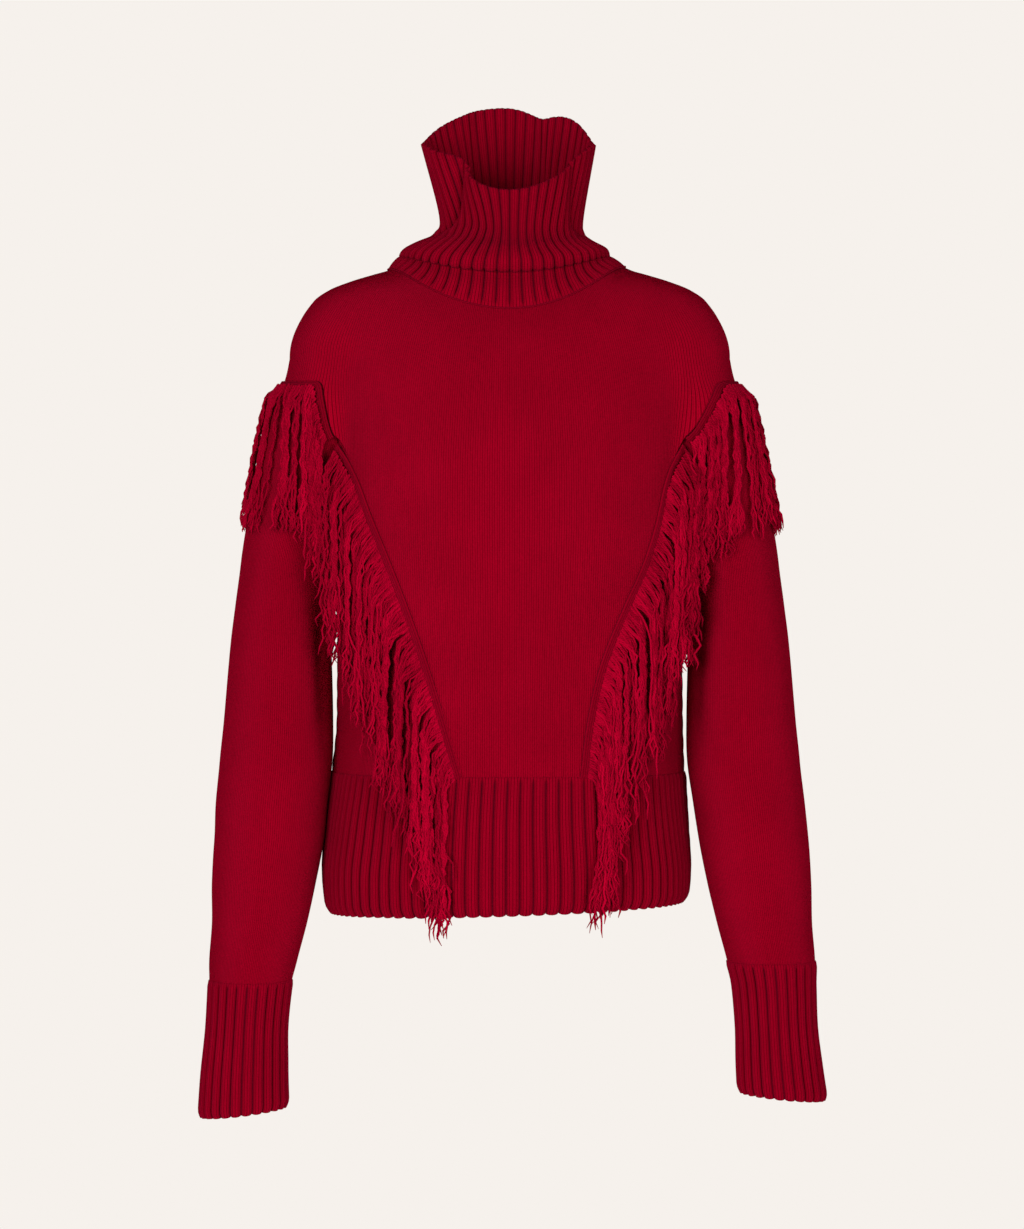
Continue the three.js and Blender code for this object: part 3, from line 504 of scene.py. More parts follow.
class SeenFromTheFront:
    """Spreads a panel's points as they are seen from the front."""

    def place(self, p):
        return p[:, [0, 2]]

    def point(self, place, distance):
        across, height = place[..., 0], place[..., 1]
        return cast_out(points(across, 0, height), points(0 * across, -1, 0), distance)


def evened(place, rounds):
    """Moves the inner places of a grid to where smooth lines through it would cross."""
    for _ in range(rounds):
        east, west = place[1:-1, 2:], place[1:-1, :-2]
        north, south = place[2:, 1:-1], place[:-2, 1:-1]
        along, upward = east - west, north - south
        twist = place[2:, 2:] - place[2:, :-2] - place[:-2, 2:] + place[:-2, :-2]
        pairs = ((along, along), (upward, upward), (along, upward))
        by_along, by_upward, both = ((a * b).sum(-1, keepdims=True) for a, b in pairs)
        even = by_upward * (east + west) + by_along * (north + south) - both / 2 * twist
        even /= 2 * (by_along + by_upward)
        place[1:-1, 1:-1] += EVENING * (even - place[1:-1, 1:-1])
    return place


def patch(bottom, top, left, right, spread, distance, evenings=0):
    """Fills the patch between four seams, which run left to right and bottom to top."""
    b, t, l, r = (spread.place(seam) for seam in (bottom, top, left, right))
    u = np.linspace(0, 1, len(bottom))[None, :, None]
    v = np.linspace(0, 1, len(left))[:, None, None]
    ruled = mix(b[None], t[None], v) + mix(l[:, None], r[:, None], u)
    place = evened(ruled - mix(mix(b[0], b[-1], u), mix(t[0], t[-1], u), v), evenings)
    inner = np.s_[1:-1, 1:-1]
    grid = np.zeros(place.shape[:2] + (3,))
    grid[inner] = spread.point(place[inner], distance)
    grid[:, 0], grid[:, -1], grid[0], grid[-1] = left, right, bottom, top
    return grid


def front_panel(left, right, cut):
    angles = [torso_angle(left["front"][0]), torso_angle(right["front"][0])]
    hem = torso_point(np.linspace(*angles, cut.hem_front + 1), HEM_TOP)[1:-1]
    neck = neck_point(np.linspace(-90, 90, cut.neck + 1))[1:-1]
    return patch(
        bottom=np.vstack([left["front"][::-1], hem, right["front"]]),
        top=np.vstack([left["shoulder"][::-1], neck, right["shoulder"]]),
        left=left["body"][: cut.junction + 1][::-1],
        right=right["body"][: cut.junction + 1][::-1],
        spread=SeenFromTheFront(),
        distance=body_distance,
        evenings=EVENINGS,
    )


def back_panel(left, right, cut):
    across = cut.ridge * 2 + cut.neck
    angles = np.linspace(270, 90, across + 1)
    lower = torso_point(angles[None, :], np.linspace(HEM_TOP, ARMPIT, cut.seam + 1)[:, None])
    lower[:, 0], lower[:, -1] = left["side"], right["side"]
    neck = neck_point(np.linspace(270, 90, cut.neck + 1))[1:-1]
    upper = patch(
        bottom=lower[-1],
        top=np.vstack([left["shoulder"][::-1], neck, right["shoulder"]]),
        left=left["body"][cut.armpit :],
        right=right["body"][cut.armpit :],
        spread=RoundTheBody(1),
        distance=body_distance,
    )
    return np.concatenate([lower, upper[1:]])


def side_panel(seams, side, cut):
    across = cut.armpit - cut.junction
    start = torso_angle(seams["front"][0])
    hem = torso_point(np.linspace(start, SIDES[side] * 90, across + 1), HEM_TOP)
    hem[0], hem[-1] = seams["front"][0], seams["side"][0]
    top = seams["body"][cut.junction : cut.armpit + 1]
    rows = patch(hem, top, seams["front"], seams["side"], RoundTheBody(-1), torso_distance)
    return rows if side == "right" else rows[:, ::-1]


SLEEVE_ROWS = 120
SLEEVE_ROW_POWER = 1.15  # above 1, so that the rows lie closer together at the top


def sleeve_tube(seams, side, cut):
    top = seams["sleeve"][:-1]
    share = np.linspace(0, 1, SLEEVE_ROWS)[:, None] ** SLEEVE_ROW_POWER
    angle = np.arange(cut.armhole) * 360 / cut.armhole
    grid = arm_point(side, angle[None, :], mix(top[None, :, 2], CUFF_TOP[side], share))
    grid[0] = top
    return grid


# Meshes


# Faces that meet at more than these angles, in degrees, keep a sharp edge between them
SHARP = {"wall": 55, "cord": 80}


def make_piece(name, corners, faces, spots, finish, form="wall"):
    """A mesh of the sweater. Spots are the knit coordinates of each face's corners."""
    mesh = bpy.data.meshes.new(name)
    mesh.from_pydata((corners * MM).tolist(), [], faces)
    layer = mesh.uv_layers.new(name="knit")
    layer.data.foreach_set("uv", np.asarray(spots, np.float32).ravel())
    mesh.shade_smooth()
    mesh.set_sharp_from_angle(angle=math.radians(SHARP[form]))
    mesh.materials.append(finish)
    piece = bpy.data.objects.new(name, mesh)
    bpy.context.collection.objects.link(piece)
    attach(piece, "root")
    return piece


def grid_faces(rows, columns, wrap_rows, wrap_columns):
    """The quads of a grid of points, and the row and column of each quad's corners."""
    i, j = np.meshgrid(
        np.arange(rows if wrap_rows else rows - 1),
        np.arange(columns if wrap_columns else columns - 1),
        indexing="ij",
    )
    corner_rows = np.stack([i, i, i + 1, i + 1], axis=-1).reshape(-1, 4)
    corner_columns = np.stack([j, j + 1, j + 1, j], axis=-1).reshape(-1, 4)
    quads = (corner_rows % rows) * columns + corner_columns % columns
    return quads, corner_rows, corner_columns


def outward(corners, quads):
    """Whether the faces point out, by the volume that they enclose."""
    a, b, c, d = (corners[quads[:, k]] for k in range(4))
    return (np.cross(b - a, c - a) * a).sum() + (np.cross(c - a, d - a) * a).sum() > 0


def closed_wall(outer, inner, spots, tube, inner_spots=None):
    """Corners, quads and knit coordinates of a wall between two grids of points.

    Spots has a row for each grid row, and one column more than a tube's grid.
    """
    inner_spots = spots if inner_spots is None else inner_spots
    rows, columns = outer.shape[:2]
    loop = np.concatenate([outer, inner[::-1]])
    quads, at_row, at_column = grid_faces(2 * rows, columns, True, tube)
    folded = np.concatenate([spots, inner_spots[::-1], spots[:1]])
    uv = folded[at_row, at_column]
    if not tube:
        i = np.arange(rows - 1)
        last = columns - 1
        for column, turn in ((0, 1), (last, -1)):
            side = [i, i + 1, 2 * rows - 2 - i, 2 * rows - 1 - i][::turn]
            quads = np.vstack([quads, np.stack([k * columns + column for k in side], axis=1)])
            uv = np.vstack([uv, np.stack([folded[k, column] for k in side], axis=1)])
    corners = loop.reshape(-1, 3)
    if not outward(corners, quads):
        quads, uv = quads[:, ::-1], uv[:, ::-1]
    return corners, quads, uv


def drawn_in(grid, tube):
    """Draws the edges of a grid in, so that pieces that share a seam stay apart."""
    drawn = grid.copy()
    drawn[0] += unit(grid[1] - grid[0]) * SEAM_GAP
    drawn[-1] += unit(grid[-2] - grid[-1]) * SEAM_GAP
    if not tube:
        drawn[:, 0] += unit(grid[:, 1] - grid[:, 0]) * SEAM_GAP
        drawn[:, -1] += unit(grid[:, -2] - grid[:, -1]) * SEAM_GAP
    return drawn


STITCH = 1.9  # width of a column of stitches
SLEEVE_COLUMNS = 164
CROWN = {"from": -70, "growth": 0.012}  # rows of stitches follow the shoulder's slope above this height


def knit_heights(z):
    return z + CROWN["growth"] * np.maximum(0, z - CROWN["from"]) ** 2


def body_spots(grid, facing):
    """Knit coordinates in millimetres: round the body, and up it."""
    angle = np.arctan2(grid[..., 0] / SPREAD["half"], facing * grid[..., 1] / SPREAD["depth"])
    mean, swing = (SPREAD["half"] + SPREAD["depth"]) / 2, (SPREAD["half"] - SPREAD["depth"]) / 4
    return np.stack([mean * angle + swing * np.sin(2 * angle), knit_heights(grid[..., 2])], axis=-1)


def sleeve_spots(grid):
    columns = grid.shape[1]
    round_arm = np.arange(columns + 1) / columns * SLEEVE_COLUMNS * STITCH
    height = np.concatenate([grid[..., 2], grid[:, :1, 2]], axis=1)
    return np.stack([np.broadcast_to(round_arm, height.shape), height], axis=-1)


def knit_piece(name, grid, where, spots, tube=False):
    facing = unit(gradient(eased_distance, grid))
    shaped = grid + facing * fold_height(grid, where)[..., None]
    outer = drawn_in(shaped, tube)
    corners, quads, uv = closed_wall(outer, outer - facing * CLOTH, spots, tube)
    piece = make_piece(f"{name}_knit", corners, quads.tolist(), uv, PLAIN_KNIT)
    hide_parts(name)
    return piece


# Ribbed tubes

# Where the points of one rib lie across its width
RIB_ACROSS = np.array([0, 0.05, 0.11, 0.18, 0.29, 0.5, 0.71, 0.82, 0.89, 0.95])
RIB_FULLNESS = 2.3
RIB_POWER = 0.8
PLAIN_LEVEL = 0.9  # how far out the cloth lies where its ribs haven't risen
INNER_DIP = 0.4  # how far the furrows of the inner face sink into the wall
ROUND_END = 0.3  # how far an end bulges, as a share of the wall's thickness
END_SPOT = 1  # how much knit there is over a rounded end
RIB_STITCHES = 4


def rib_profile(across):
    """How high a rib stands at each share of its width: a full round between narrow furrows."""
    return (1 - np.abs(2 * across - 1) ** RIB_FULLNESS) ** RIB_POWER


def grid_facing(grid):
    """The way each point of a tube's grid faces, from its neighbours, outwards."""
    up = np.gradient(grid, axis=0)
    around = np.roll(grid, -1, axis=1) - np.roll(grid, 1, axis=1)
    facing = unit(np.cross(around, up))
    centre = grid.mean(axis=1, keepdims=True)
    return facing * np.sign((facing * (grid - centre)).sum(-1).mean())


def ribbed_piece(name, grid, ribs, strength, finish):
    """A tube with ribs on both faces. Strength is how far the ribs have risen on each row."""
    facing = grid_facing(grid)
    rise = rib_profile(np.tile(RIB_ACROSS, ribs)) * (RIB_RISE + FURROW) - FURROW
    inner_rise = rib_profile((np.tile(RIB_ACROSS, ribs) + 0.5) % 1) * RIB_RISE - INNER_DIP
    strength = np.asarray(strength)[:, None]
    outer = grid + facing * mix(PLAIN_LEVEL, rise[None], strength)[..., None]
    inner = grid - facing * (RIB_CLOTH + inner_rise[None] * strength)[..., None]
    ends = []
    for last, before in ((-1, -2), (0, 1)):
        middle = (outer[last] + inner[last]) / 2
        past = unit(grid[last] - grid[before])
        ends.append((middle + past * length_of(outer[last] - inner[last]) * ROUND_END)[None])
    outer = np.concatenate([ends[1], outer, ends[0]])
    inner = np.concatenate([ends[1], inner, ends[0]])
    columns = grid.shape[1]
    across = np.append((np.arange(ribs)[:, None] + RIB_ACROSS).ravel(), ribs) * RIB_STITCHES * STITCH
    down = np.cumsum(np.r_[0, length_of(np.diff(grid, axis=0)).mean(axis=(1, 2))])
    down = np.r_[down[0] - END_SPOT, down, down[-1] + END_SPOT]
    spots = np.stack(np.broadcast_arrays(across[None, :], down[:, None]), axis=-1)
    inner_spots = spots + np.array([RIB_STITCHES * STITCH / 2, 0])
    corners, quads, uv = closed_wall(outer, inner, spots, True, inner_spots)
    piece = make_piece(f"{name}_knit", corners, quads.tolist(), uv, finish)
    risen = np.r_[strength[0], strength[:, 0], strength[-1]]
    rise_layer = piece.data.attributes.new("risen", "FLOAT", "POINT")
    rise_layer.data.foreach_set("value", np.repeat(np.r_[risen, risen[::-1]], columns).astype(np.float32))
    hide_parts(name)
    return piece


def rib_shares(ribs):
    """Shares of the way round a tube at which its points lie."""
    return ((np.arange(ribs)[:, None] + RIB_ACROSS) / ribs).ravel()


RIB_START = 4  # over this length the ribs rise out of the plain knit
ROUNDED_EDGE = {"hem": (4, 10), "cuff": (2.5, 8)}  # how far the edge draws in, and over what height
ROUNDING_POWER = 2.2
ROWS_DRAWN = 0.75  # how strongly rows are drawn to both ends of a tube
HEM_ROWS = 22
CUFF_ROWS = 24


def row_shares(rows):
    """Shares of a tube's height at which its rows lie, closer together at both ends."""
    even = np.linspace(0, 1, rows)[:, None]
    return mix(even, smoothstep(even), ROWS_DRAWN)


def rounded_in(grid, kind):
    """Draws a ribbed edge in towards the middle of its tube, more and more to its end."""
    by, height = ROUNDED_EDGE[kind]
    above = grid[..., 2] - grid[-1:, :, 2]
    centre = grid.mean(axis=1, keepdims=True) * np.array([1, 1, 0])
    inward = unit((centre - grid) * np.array([1, 1, 0]))
    return grid + inward * (by * np.clip(1 - above / height, 0, 1) ** ROUNDING_POWER)[..., None]


def hem_rib():
    share = rib_shares(HEM_RIBS)
    down = row_shares(HEM_ROWS)
    bottom = HEM_BOTTOM + HEM_TILT * np.sin(2 * np.pi * share)[None]
    grid = torso_point(360 * share[None], mix(HEM_TOP - SEAM_GAP, bottom, down))
    grid = rounded_in(grid + grid_facing(grid) * fold_height(grid, "body")[..., None], "hem")
    strength = smoothstep(down[:, 0] * (HEM_TOP - HEM_BOTTOM) / RIB_START)
    return ribbed_piece("hem_rib", grid, HEM_RIBS, strength, RIB_KNIT)


def cuff(side):
    share = rib_shares(CUFF_RIBS)
    down = row_shares(CUFF_ROWS)
    tilt = CUFF_TILT[side] * down * (1 - np.cos(2 * np.pi * share))[None] * 0.5
    height = mix(CUFF_TOP[side] - SEAM_GAP, CUFF_BOTTOM[side], down) + tilt
    grid = rounded_in(arm_point(side, 360 * share[None], height), "cuff")
    strength = smoothstep(down[:, 0] * (CUFF_TOP[side] - CUFF_BOTTOM[side]) / RIB_START)
    return ribbed_piece(f"cuff_{side}", grid, CUFF_RIBS, strength, RIB_KNIT)


# Collar

# How far each ring reaches to the left, right, front and back, and its height at the front, the
# sides and the back. It climbs from the seam, tucks in, rolls over and narrows to the neck.
COLLAR = [
    (110, 103, 86, 68, -41.6, 1, 10),
    (101, 93, 84, 65, -26, 9, 17),
    (96, 88, 77, 61, -10, 11, 23),
    (98, 88.5, 86, 66, -7.5, 13, 26),
    (93.5, 86, 90, 67, 1, 18, 34),
    (80, 73, 85, 63, 11, 25, 44),
    (66.5, 66, 75, 58, 21, 32, 58),
    (62, 65, 69, 56, 34, 48, 82),
    (78.5, 76, 68, 62, 63.5, 112, 153),
]
# Waves of the rim and dents of the neck: where they are round the collar, from the front towards
# the right in degrees, how wide they are, and how far they lift the rim or push in.
COLLAR_WAVES_FROM = 5
COLLAR_WAVES = [
    (232, 30, 7, 0),
    (158, 14, -7, 1),
    (130, 22, 11, -1),
    (321, 16, 9, 6),
]
# Folds that gather the ribs: where each starts at the rim and ends at the foot, in degrees, the ring
# where it ends, how wide it is, how far it draws the ribs together and how far it sinks.
COLLAR_FOLDS = [
    (322, 282, 5.6, 17, 0.5, 7.5),
    (48, 70, 5.8, 15, 0.3, 3.0),
    (150, 128, 5.5, 18, 0.35, 4.0),
    (214, 236, 5.8, 16, 0.25, 3.0),
]
FOLD_START = {"before": 1.0, "over": 1.4}  # a fold fades in from so many rings below its end
SUNK_WIDTH = 0.6  # how wide the sunk part of a fold is, as a share of the whole
COLLAR_ROWS = 66
COLLAR_ROW_POWER = 0.9
COLLAR_START = 0.02  # how far above the seam's ring the cloth starts
COLLAR_RIBS_RISE = 0.5  # how far up the first ring's step the ribs have risen
SEAM_CORD = {"radius": 0.9, "lift": 0.5, "points": 420, "sides": 6, "twist": 2.6, "uneven": 0.16}


def collar_ring(ring, angle):
    left, right, front, back, z_front, z_side, z_back = ring
    across, ahead = np.sin(np.radians(angle)), np.cos(np.radians(angle))
    z = mix(z_side, np.where(ahead < 0, z_back, z_front), ahead**2)
    reach = np.where(across < 0, left, right)
    return points(reach * across, -ahead * np.where(ahead < 0, back, front), z)


def turn_between(angle, at):
    """The shorter way round from one angle to another, in degrees."""
    return (angle - at + 540) % 360 - 180


def rows_between(rings, levels):
    """Rings at any level of a smooth stack through the given ones."""
    slopes = np.gradient(rings, axis=0)
    i = np.clip(np.floor(levels).astype(int), 0, len(rings) - 2)
    t = (levels - i)[:, None, None]
    rise = 3 * t**2 - 2 * t**3
    found = rings[i] * (1 - rise) + rings[i + 1] * rise
    return found + slopes[i] * (t**3 - 2 * t**2 + t) + slopes[i + 1] * (t**3 - t**2)


def collar():
    angle = 360 * rib_shares(COLLAR_RIBS)
    rings = np.stack([neck_point(angle)] + [collar_ring(ring, angle) for ring in COLLAR[1:]])
    last = len(COLLAR) - 1
    levels = last * np.linspace(0, 1, COLLAR_ROWS) ** COLLAR_ROW_POWER
    levels[0] = COLLAR_START
    grid = rows_between(rings, levels)
    share = smoothstep((levels - COLLAR_WAVES_FROM) / (last - COLLAR_WAVES_FROM))[:, None]
    flat = unit(grid * np.array([1, 1, 0]))
    for at, width, lift, push in COLLAR_WAVES:
        strength = share * np.exp(-((turn_between(angle, at) / width) ** 2))[None]
        grid[..., 2] += lift * strength
        grid -= flat * (push * strength)[..., None]
    grid_angle = np.broadcast_to(angle, grid.shape[:2])
    for at_rim, at_foot, foot, width, gather, sink in COLLAR_FOLDS:
        up = np.clip((levels - foot) / (last - foot), 0, 1)[:, None]
        away = turn_between(grid_angle, mix(at_foot, at_rim, up))
        begun = smoothstep((levels - foot + FOLD_START["before"]) / FOLD_START["over"])[:, None]
        strength = begun * np.exp(-((away / width) ** 2))
        side_step = -np.radians(away) * gather * strength
        turned = np.stack([-grid[..., 1] * side_step, grid[..., 0] * side_step, 0 * side_step], axis=-1)
        sunk = sink * strength * np.exp(-((away / (SUNK_WIDTH * width)) ** 2))
        grid = grid + turned - flat * sunk[..., None]
    strength = smoothstep(levels / COLLAR_RIBS_RISE)
    return ribbed_piece("collar", grid, COLLAR_RIBS, strength, COLLAR_KNIT)


def spokes(out, across, sides):
    """From points of a line to the points of a ring round each of them, at a distance of 1."""
    turn = (2 * np.pi * np.arange(sides) / sides)[:, None]
    return out[..., None, :] * np.cos(turn) + across[..., None, :] * np.sin(turn)


def seam_cord():
    """The fine corded line where the collar is joined on."""
    angle = np.linspace(0, 360, SEAM_CORD["points"], endpoint=False)
    path = neck_point(angle)
    path += unit(gradient(eased_distance, path)) * SEAM_CORD["lift"]
    around = unit(np.roll(path, -1, axis=0) - np.roll(path, 1, axis=0))
    out = unit(gradient(eased_distance, path))
    up = np.cross(around, out)
    length = np.cumsum(length_of(np.roll(path, -1, axis=0) - path)[:, 0])
    bumps = SEAM_CORD["uneven"] * np.sin(2 * np.pi * length / SEAM_CORD["twist"])
    radius = SEAM_CORD["radius"] * (1 + bumps)
    rings = path[:, None] + spokes(out, up, SEAM_CORD["sides"]) * radius[:, None, None]
    corners = rings.reshape(-1, 3)
    quads, at_row, at_column = grid_faces(len(path), SEAM_CORD["sides"], True, True)
    if not outward(corners, quads):
        quads, at_row, at_column = (corner[:, ::-1] for corner in (quads, at_row, at_column))
    spots = np.stack([at_column * SEAM_CORD["radius"], at_row * length[0]], axis=-1)
    return make_piece("neck_seam_cord", corners, quads.tolist(), spots, BAND_KNIT, "cord")


# Fringe

# The narrow band that holds the fringe. Its direction is evened out over some points to each side,
# and the yarns' roots lie at a share of its width.
BAND = {
    "from_seam": 1.2,
    "width": 7.6,
    "lift": 0.5,
    "inner_lift": 0.2,
    "cloth": 2.0,
    "edge_power": 4,
    "columns": 12,
    "stitches": 4,
    "smoothing": 6,
    "root_share": 0.9,
    "root_lift": 0.9,
}
CAP_FRINGE_ANGLE = 118  # how far round the arm the sleeve's fringe goes, to each side
FRINGE = {
    "front": {"yarns": 300, "length": 168, "throw": (8, 15, 13), "layers": (2.0, 14.0)},
    "sleeve": {"yarns": 270, "length": 142, "throw": (3, 3, 3), "layers": (1.6, 7.5)},
}
YARN_RADIUS = 1.05
YARN_SIDES = 5
YARN_RINGS = 23
YARN_STEPS = 46  # short steps in which a yarn's path is found
YARN_THINS = 0.75  # how much of its thickness a yarn loses at its tip
YARN_BEADS = {"rise": 0.1, "waves": 60}
CLEARING = 12  # a yarn comes clear of the cloth over this length and its own clearance
ROOT_DROOP = 0.45  # how steeply a yarn already falls where it leaves its seam
LEAST_CLEAR = 1.4  # how far out the middle of a free yarn stays
CLUSTER_YARNS = 6
FRAYED = {"share": 0.12, "length": 0.72}  # some yarns have broken off short
# How much yarns and their bunches differ: spans of even draws, or the spread of a normal one
DIFFER = {
    "place": (-0.45, 0.45),
    "aim": 0.16,
    "root": (-2.2, 0.6),
    "bunch_throw": (0.68, 1.3),
    "throw": (0.85, 1.15),
    "bunch_length": (0.86, 1.02),
    "length": (0.92, 1.03),
    "bunch_lean": (-6, 6),
    "tip_lean": 4.5,
    "tip_lift": 2.4,
    "thickness": (0.8, 1.2),
}
# Waves of a yarn: their least and greatest height, and their least and greatest length
WAVES = {
    "crimp": (0.6, 2.0, 15, 28),
    "sway": (0.4, 2.0, 40, 80),
    "frayed": (0.5, 3.2, 9, 20),
    "outward": (0.2, 1.5, 16, 32),
}
BUNCHING = {"drawn": 0.8, "by": 0.24, "parted": 0.4}
BUNCH_SHARE = {"clear": 0.6, "tone": 0.4}  # how much of a draw the yarns of a bunch have in common
ROOT_ENDS = (0.004, 0.996)  # where along its seam the first and last yarns are
FREE_BY = 0.12  # the share of its length over which a yarn gets free to wave
# Shares of a yarn's length from which it changes on its way to the tip
STARTS = {"leaning": 0.55, "parting": 0.6, "fraying": 0.7, "thinning": 0.93}
LEAN_POWER = 1.5
LIFT_POWER = 3


def square_to(seam, toward):
    """Which way lies square to a seam within the cloth, towards another row of points."""
    along = unit(np.gradient(seam, axis=0))
    facing = unit(gradient(eased_distance, seam))
    away = unit(np.cross(along, facing))
    away *= np.sign((away * (toward - seam)).sum(-1, keepdims=True))
    reach = BAND["smoothing"]
    padded = np.pad(away, ((reach, reach), (0, 0)), mode="edge")
    even = np.stack([padded[k : k + len(away)] for k in range(2 * reach + 1)]).mean(axis=0)
    return unit(even - facing * (even * facing).sum(-1, keepdims=True))


def band_row(seam, away, reach, lift):
    p = settle(seam + away * reach)
    return p + unit(gradient(eased_distance, p)) * lift


def band(name, seam, toward):
    """A narrow strip of knit along a seam, with full round edges."""
    away = square_to(seam, toward)
    shares = np.linspace(0, 1, BAND["columns"])
    bulge = (1 - np.abs(2 * shares - 1) ** BAND["edge_power"]) ** 0.5
    reach = BAND["from_seam"] + shares * BAND["width"]
    lift = BAND["lift"] + BAND["cloth"] * bulge
    outer = np.stack([band_row(seam, away, r, high) for r, high in zip(reach, lift)], 1)
    inner = np.stack([band_row(seam, away, r, BAND["inner_lift"]) for r in reach], 1)
    down = np.cumsum(np.r_[0, length_of(np.diff(seam, axis=0))[:, 0]])
    spots = np.stack(np.broadcast_arrays(shares[None] * BAND["stitches"] * STITCH, down[:, None]), axis=-1)
    corners, quads, uv = closed_wall(outer, inner, spots, False)
    return make_piece(name, corners, quads.tolist(), uv, BAND_KNIT)


def along_rows(rows, shares):
    """Points at shares of the length of a row of points, and the same for what goes with them."""
    lengths = np.r_[0, np.cumsum(length_of(np.diff(rows[0], axis=0))[:, 0])]
    at = np.asarray(shares) * lengths[-1]
    return [np.stack([np.interp(at, lengths, row[:, k]) for k in range(3)], axis=-1) for row in rows]


def hang(root, away, throw, length, clear):
    """Paths of yarns that leave their seam square to it, turn down and lie clear of the cloth."""
    step = (length / YARN_STEPS)[:, None]
    p, path = root.copy(), [root.copy()]
    for k in range(YARN_STEPS):
        gone = k * step
        turned = smoothstep(gone / (2 * throw[:, None]))
        way = unit(away * (1 - turned) + np.array([0, 0, -1.0]) * (turned + ROOT_DROOP))
        p = p + way * step
        wanted = clear * smoothstep((gone + step)[:, 0] / (CLEARING + clear))
        short = np.maximum(0, wanted - drape_distance(p))
        p = p + unit(gradient(drape_distance, p)) * short[:, None]
        path.append(p.copy())
    path = np.stack(path, axis=1)
    return path[:, np.linspace(0, YARN_STEPS, YARN_RINGS).round().astype(int)]


def to_tip(gone, start):
    """Rises from 0 at a share of a yarn's length to 1 at its tip."""
    return smoothstep((gone - start) / (1 - start))


def fringe_paths(kind, roots, away, random):
    size = FRINGE[kind]
    yarns = size["yarns"]
    share = (np.arange(yarns) + 0.5 + random.uniform(*DIFFER["place"], yarns)) / yarns
    rows = [roots, away, np.gradient(roots, axis=0)]
    root, aim, along = along_rows(rows, mix(*ROOT_ENDS, share))
    aim = unit(aim) + unit(along) * random.normal(0, DIFFER["aim"], (yarns, 1))
    root = root + unit(aim) * random.uniform(*DIFFER["root"], (yarns, 1))
    bunch = np.cumsum(random.random(yarns) < 1 / CLUSTER_YARNS)
    bunches = bunch[-1] + 1
    by_bunch = random.random((4, bunches))
    throw = np.interp(share, [0, 0.5, 1], size["throw"])
    throw = throw * mix(*DIFFER["bunch_throw"], by_bunch[0][bunch]) * random.uniform(*DIFFER["throw"], yarns)
    length = size["length"] * mix(*DIFFER["bunch_length"], by_bunch[1][bunch])
    length = length * random.uniform(*DIFFER["length"], yarns)
    length = np.where(random.random(yarns) < FRAYED["share"], length * FRAYED["length"], length)
    low, high = size["layers"]
    clear = mix(low, high, mix(random.random(yarns), by_bunch[2][bunch], BUNCH_SHARE["clear"]))
    path = hang(root, unit(aim), throw, length, clear)

    # Yarns of a bunch draw together below their roots and part again at the tips
    gone = np.linspace(0, 1, YARN_RINGS)
    members = np.bincount(bunch, minlength=bunches)[:, None, None]
    middle = np.zeros((bunches, YARN_RINGS, 3))
    np.add.at(middle, bunch, path)
    middle /= np.maximum(members, 1)
    parted = BUNCHING["parted"] * to_tip(gone, STARTS["parting"])
    together = BUNCHING["drawn"] * smoothstep(gone / BUNCHING["by"]) * (1 - parted)
    path = mix(path, middle[bunch], together[None, :, None])

    # Each yarn waves, and the bunches sway a little
    out = unit(gradient(drape_distance, path))
    along = unit(np.gradient(path, axis=1))
    across = unit(np.cross(along, out))
    distance = gone[None] * length[:, None]
    free = smoothstep(gone / FREE_BY)[None]

    def wave(low, high, short, long):
        height = random.uniform(low, high, (yarns, 1))
        turns = distance / random.uniform(short, long, (yarns, 1)) + random.random((yarns, 1))
        return height * np.sin(2 * np.pi * turns)

    fraying = to_tip(gone, STARTS["fraying"])[None]
    leaning = to_tip(gone, STARTS["leaning"])[None]
    sideways = wave(*WAVES["crimp"]) + wave(*WAVES["sway"])
    sideways += mix(*DIFFER["bunch_lean"], by_bunch[3][bunch])[:, None] * gone[None] ** LEAN_POWER
    sideways += random.normal(0, DIFFER["tip_lean"], (yarns, 1)) * leaning
    sideways += wave(*WAVES["frayed"]) * fraying
    outwards = wave(*WAVES["outward"])
    outwards += np.abs(random.normal(0, DIFFER["tip_lift"], (yarns, 1))) * gone[None] ** LIFT_POWER
    path = path + across * (sideways * free)[..., None] + out * (outwards * free)[..., None]
    short = np.maximum(0, LEAST_CLEAR * free - drape_distance(path))
    return path + out * short[..., None], bunch


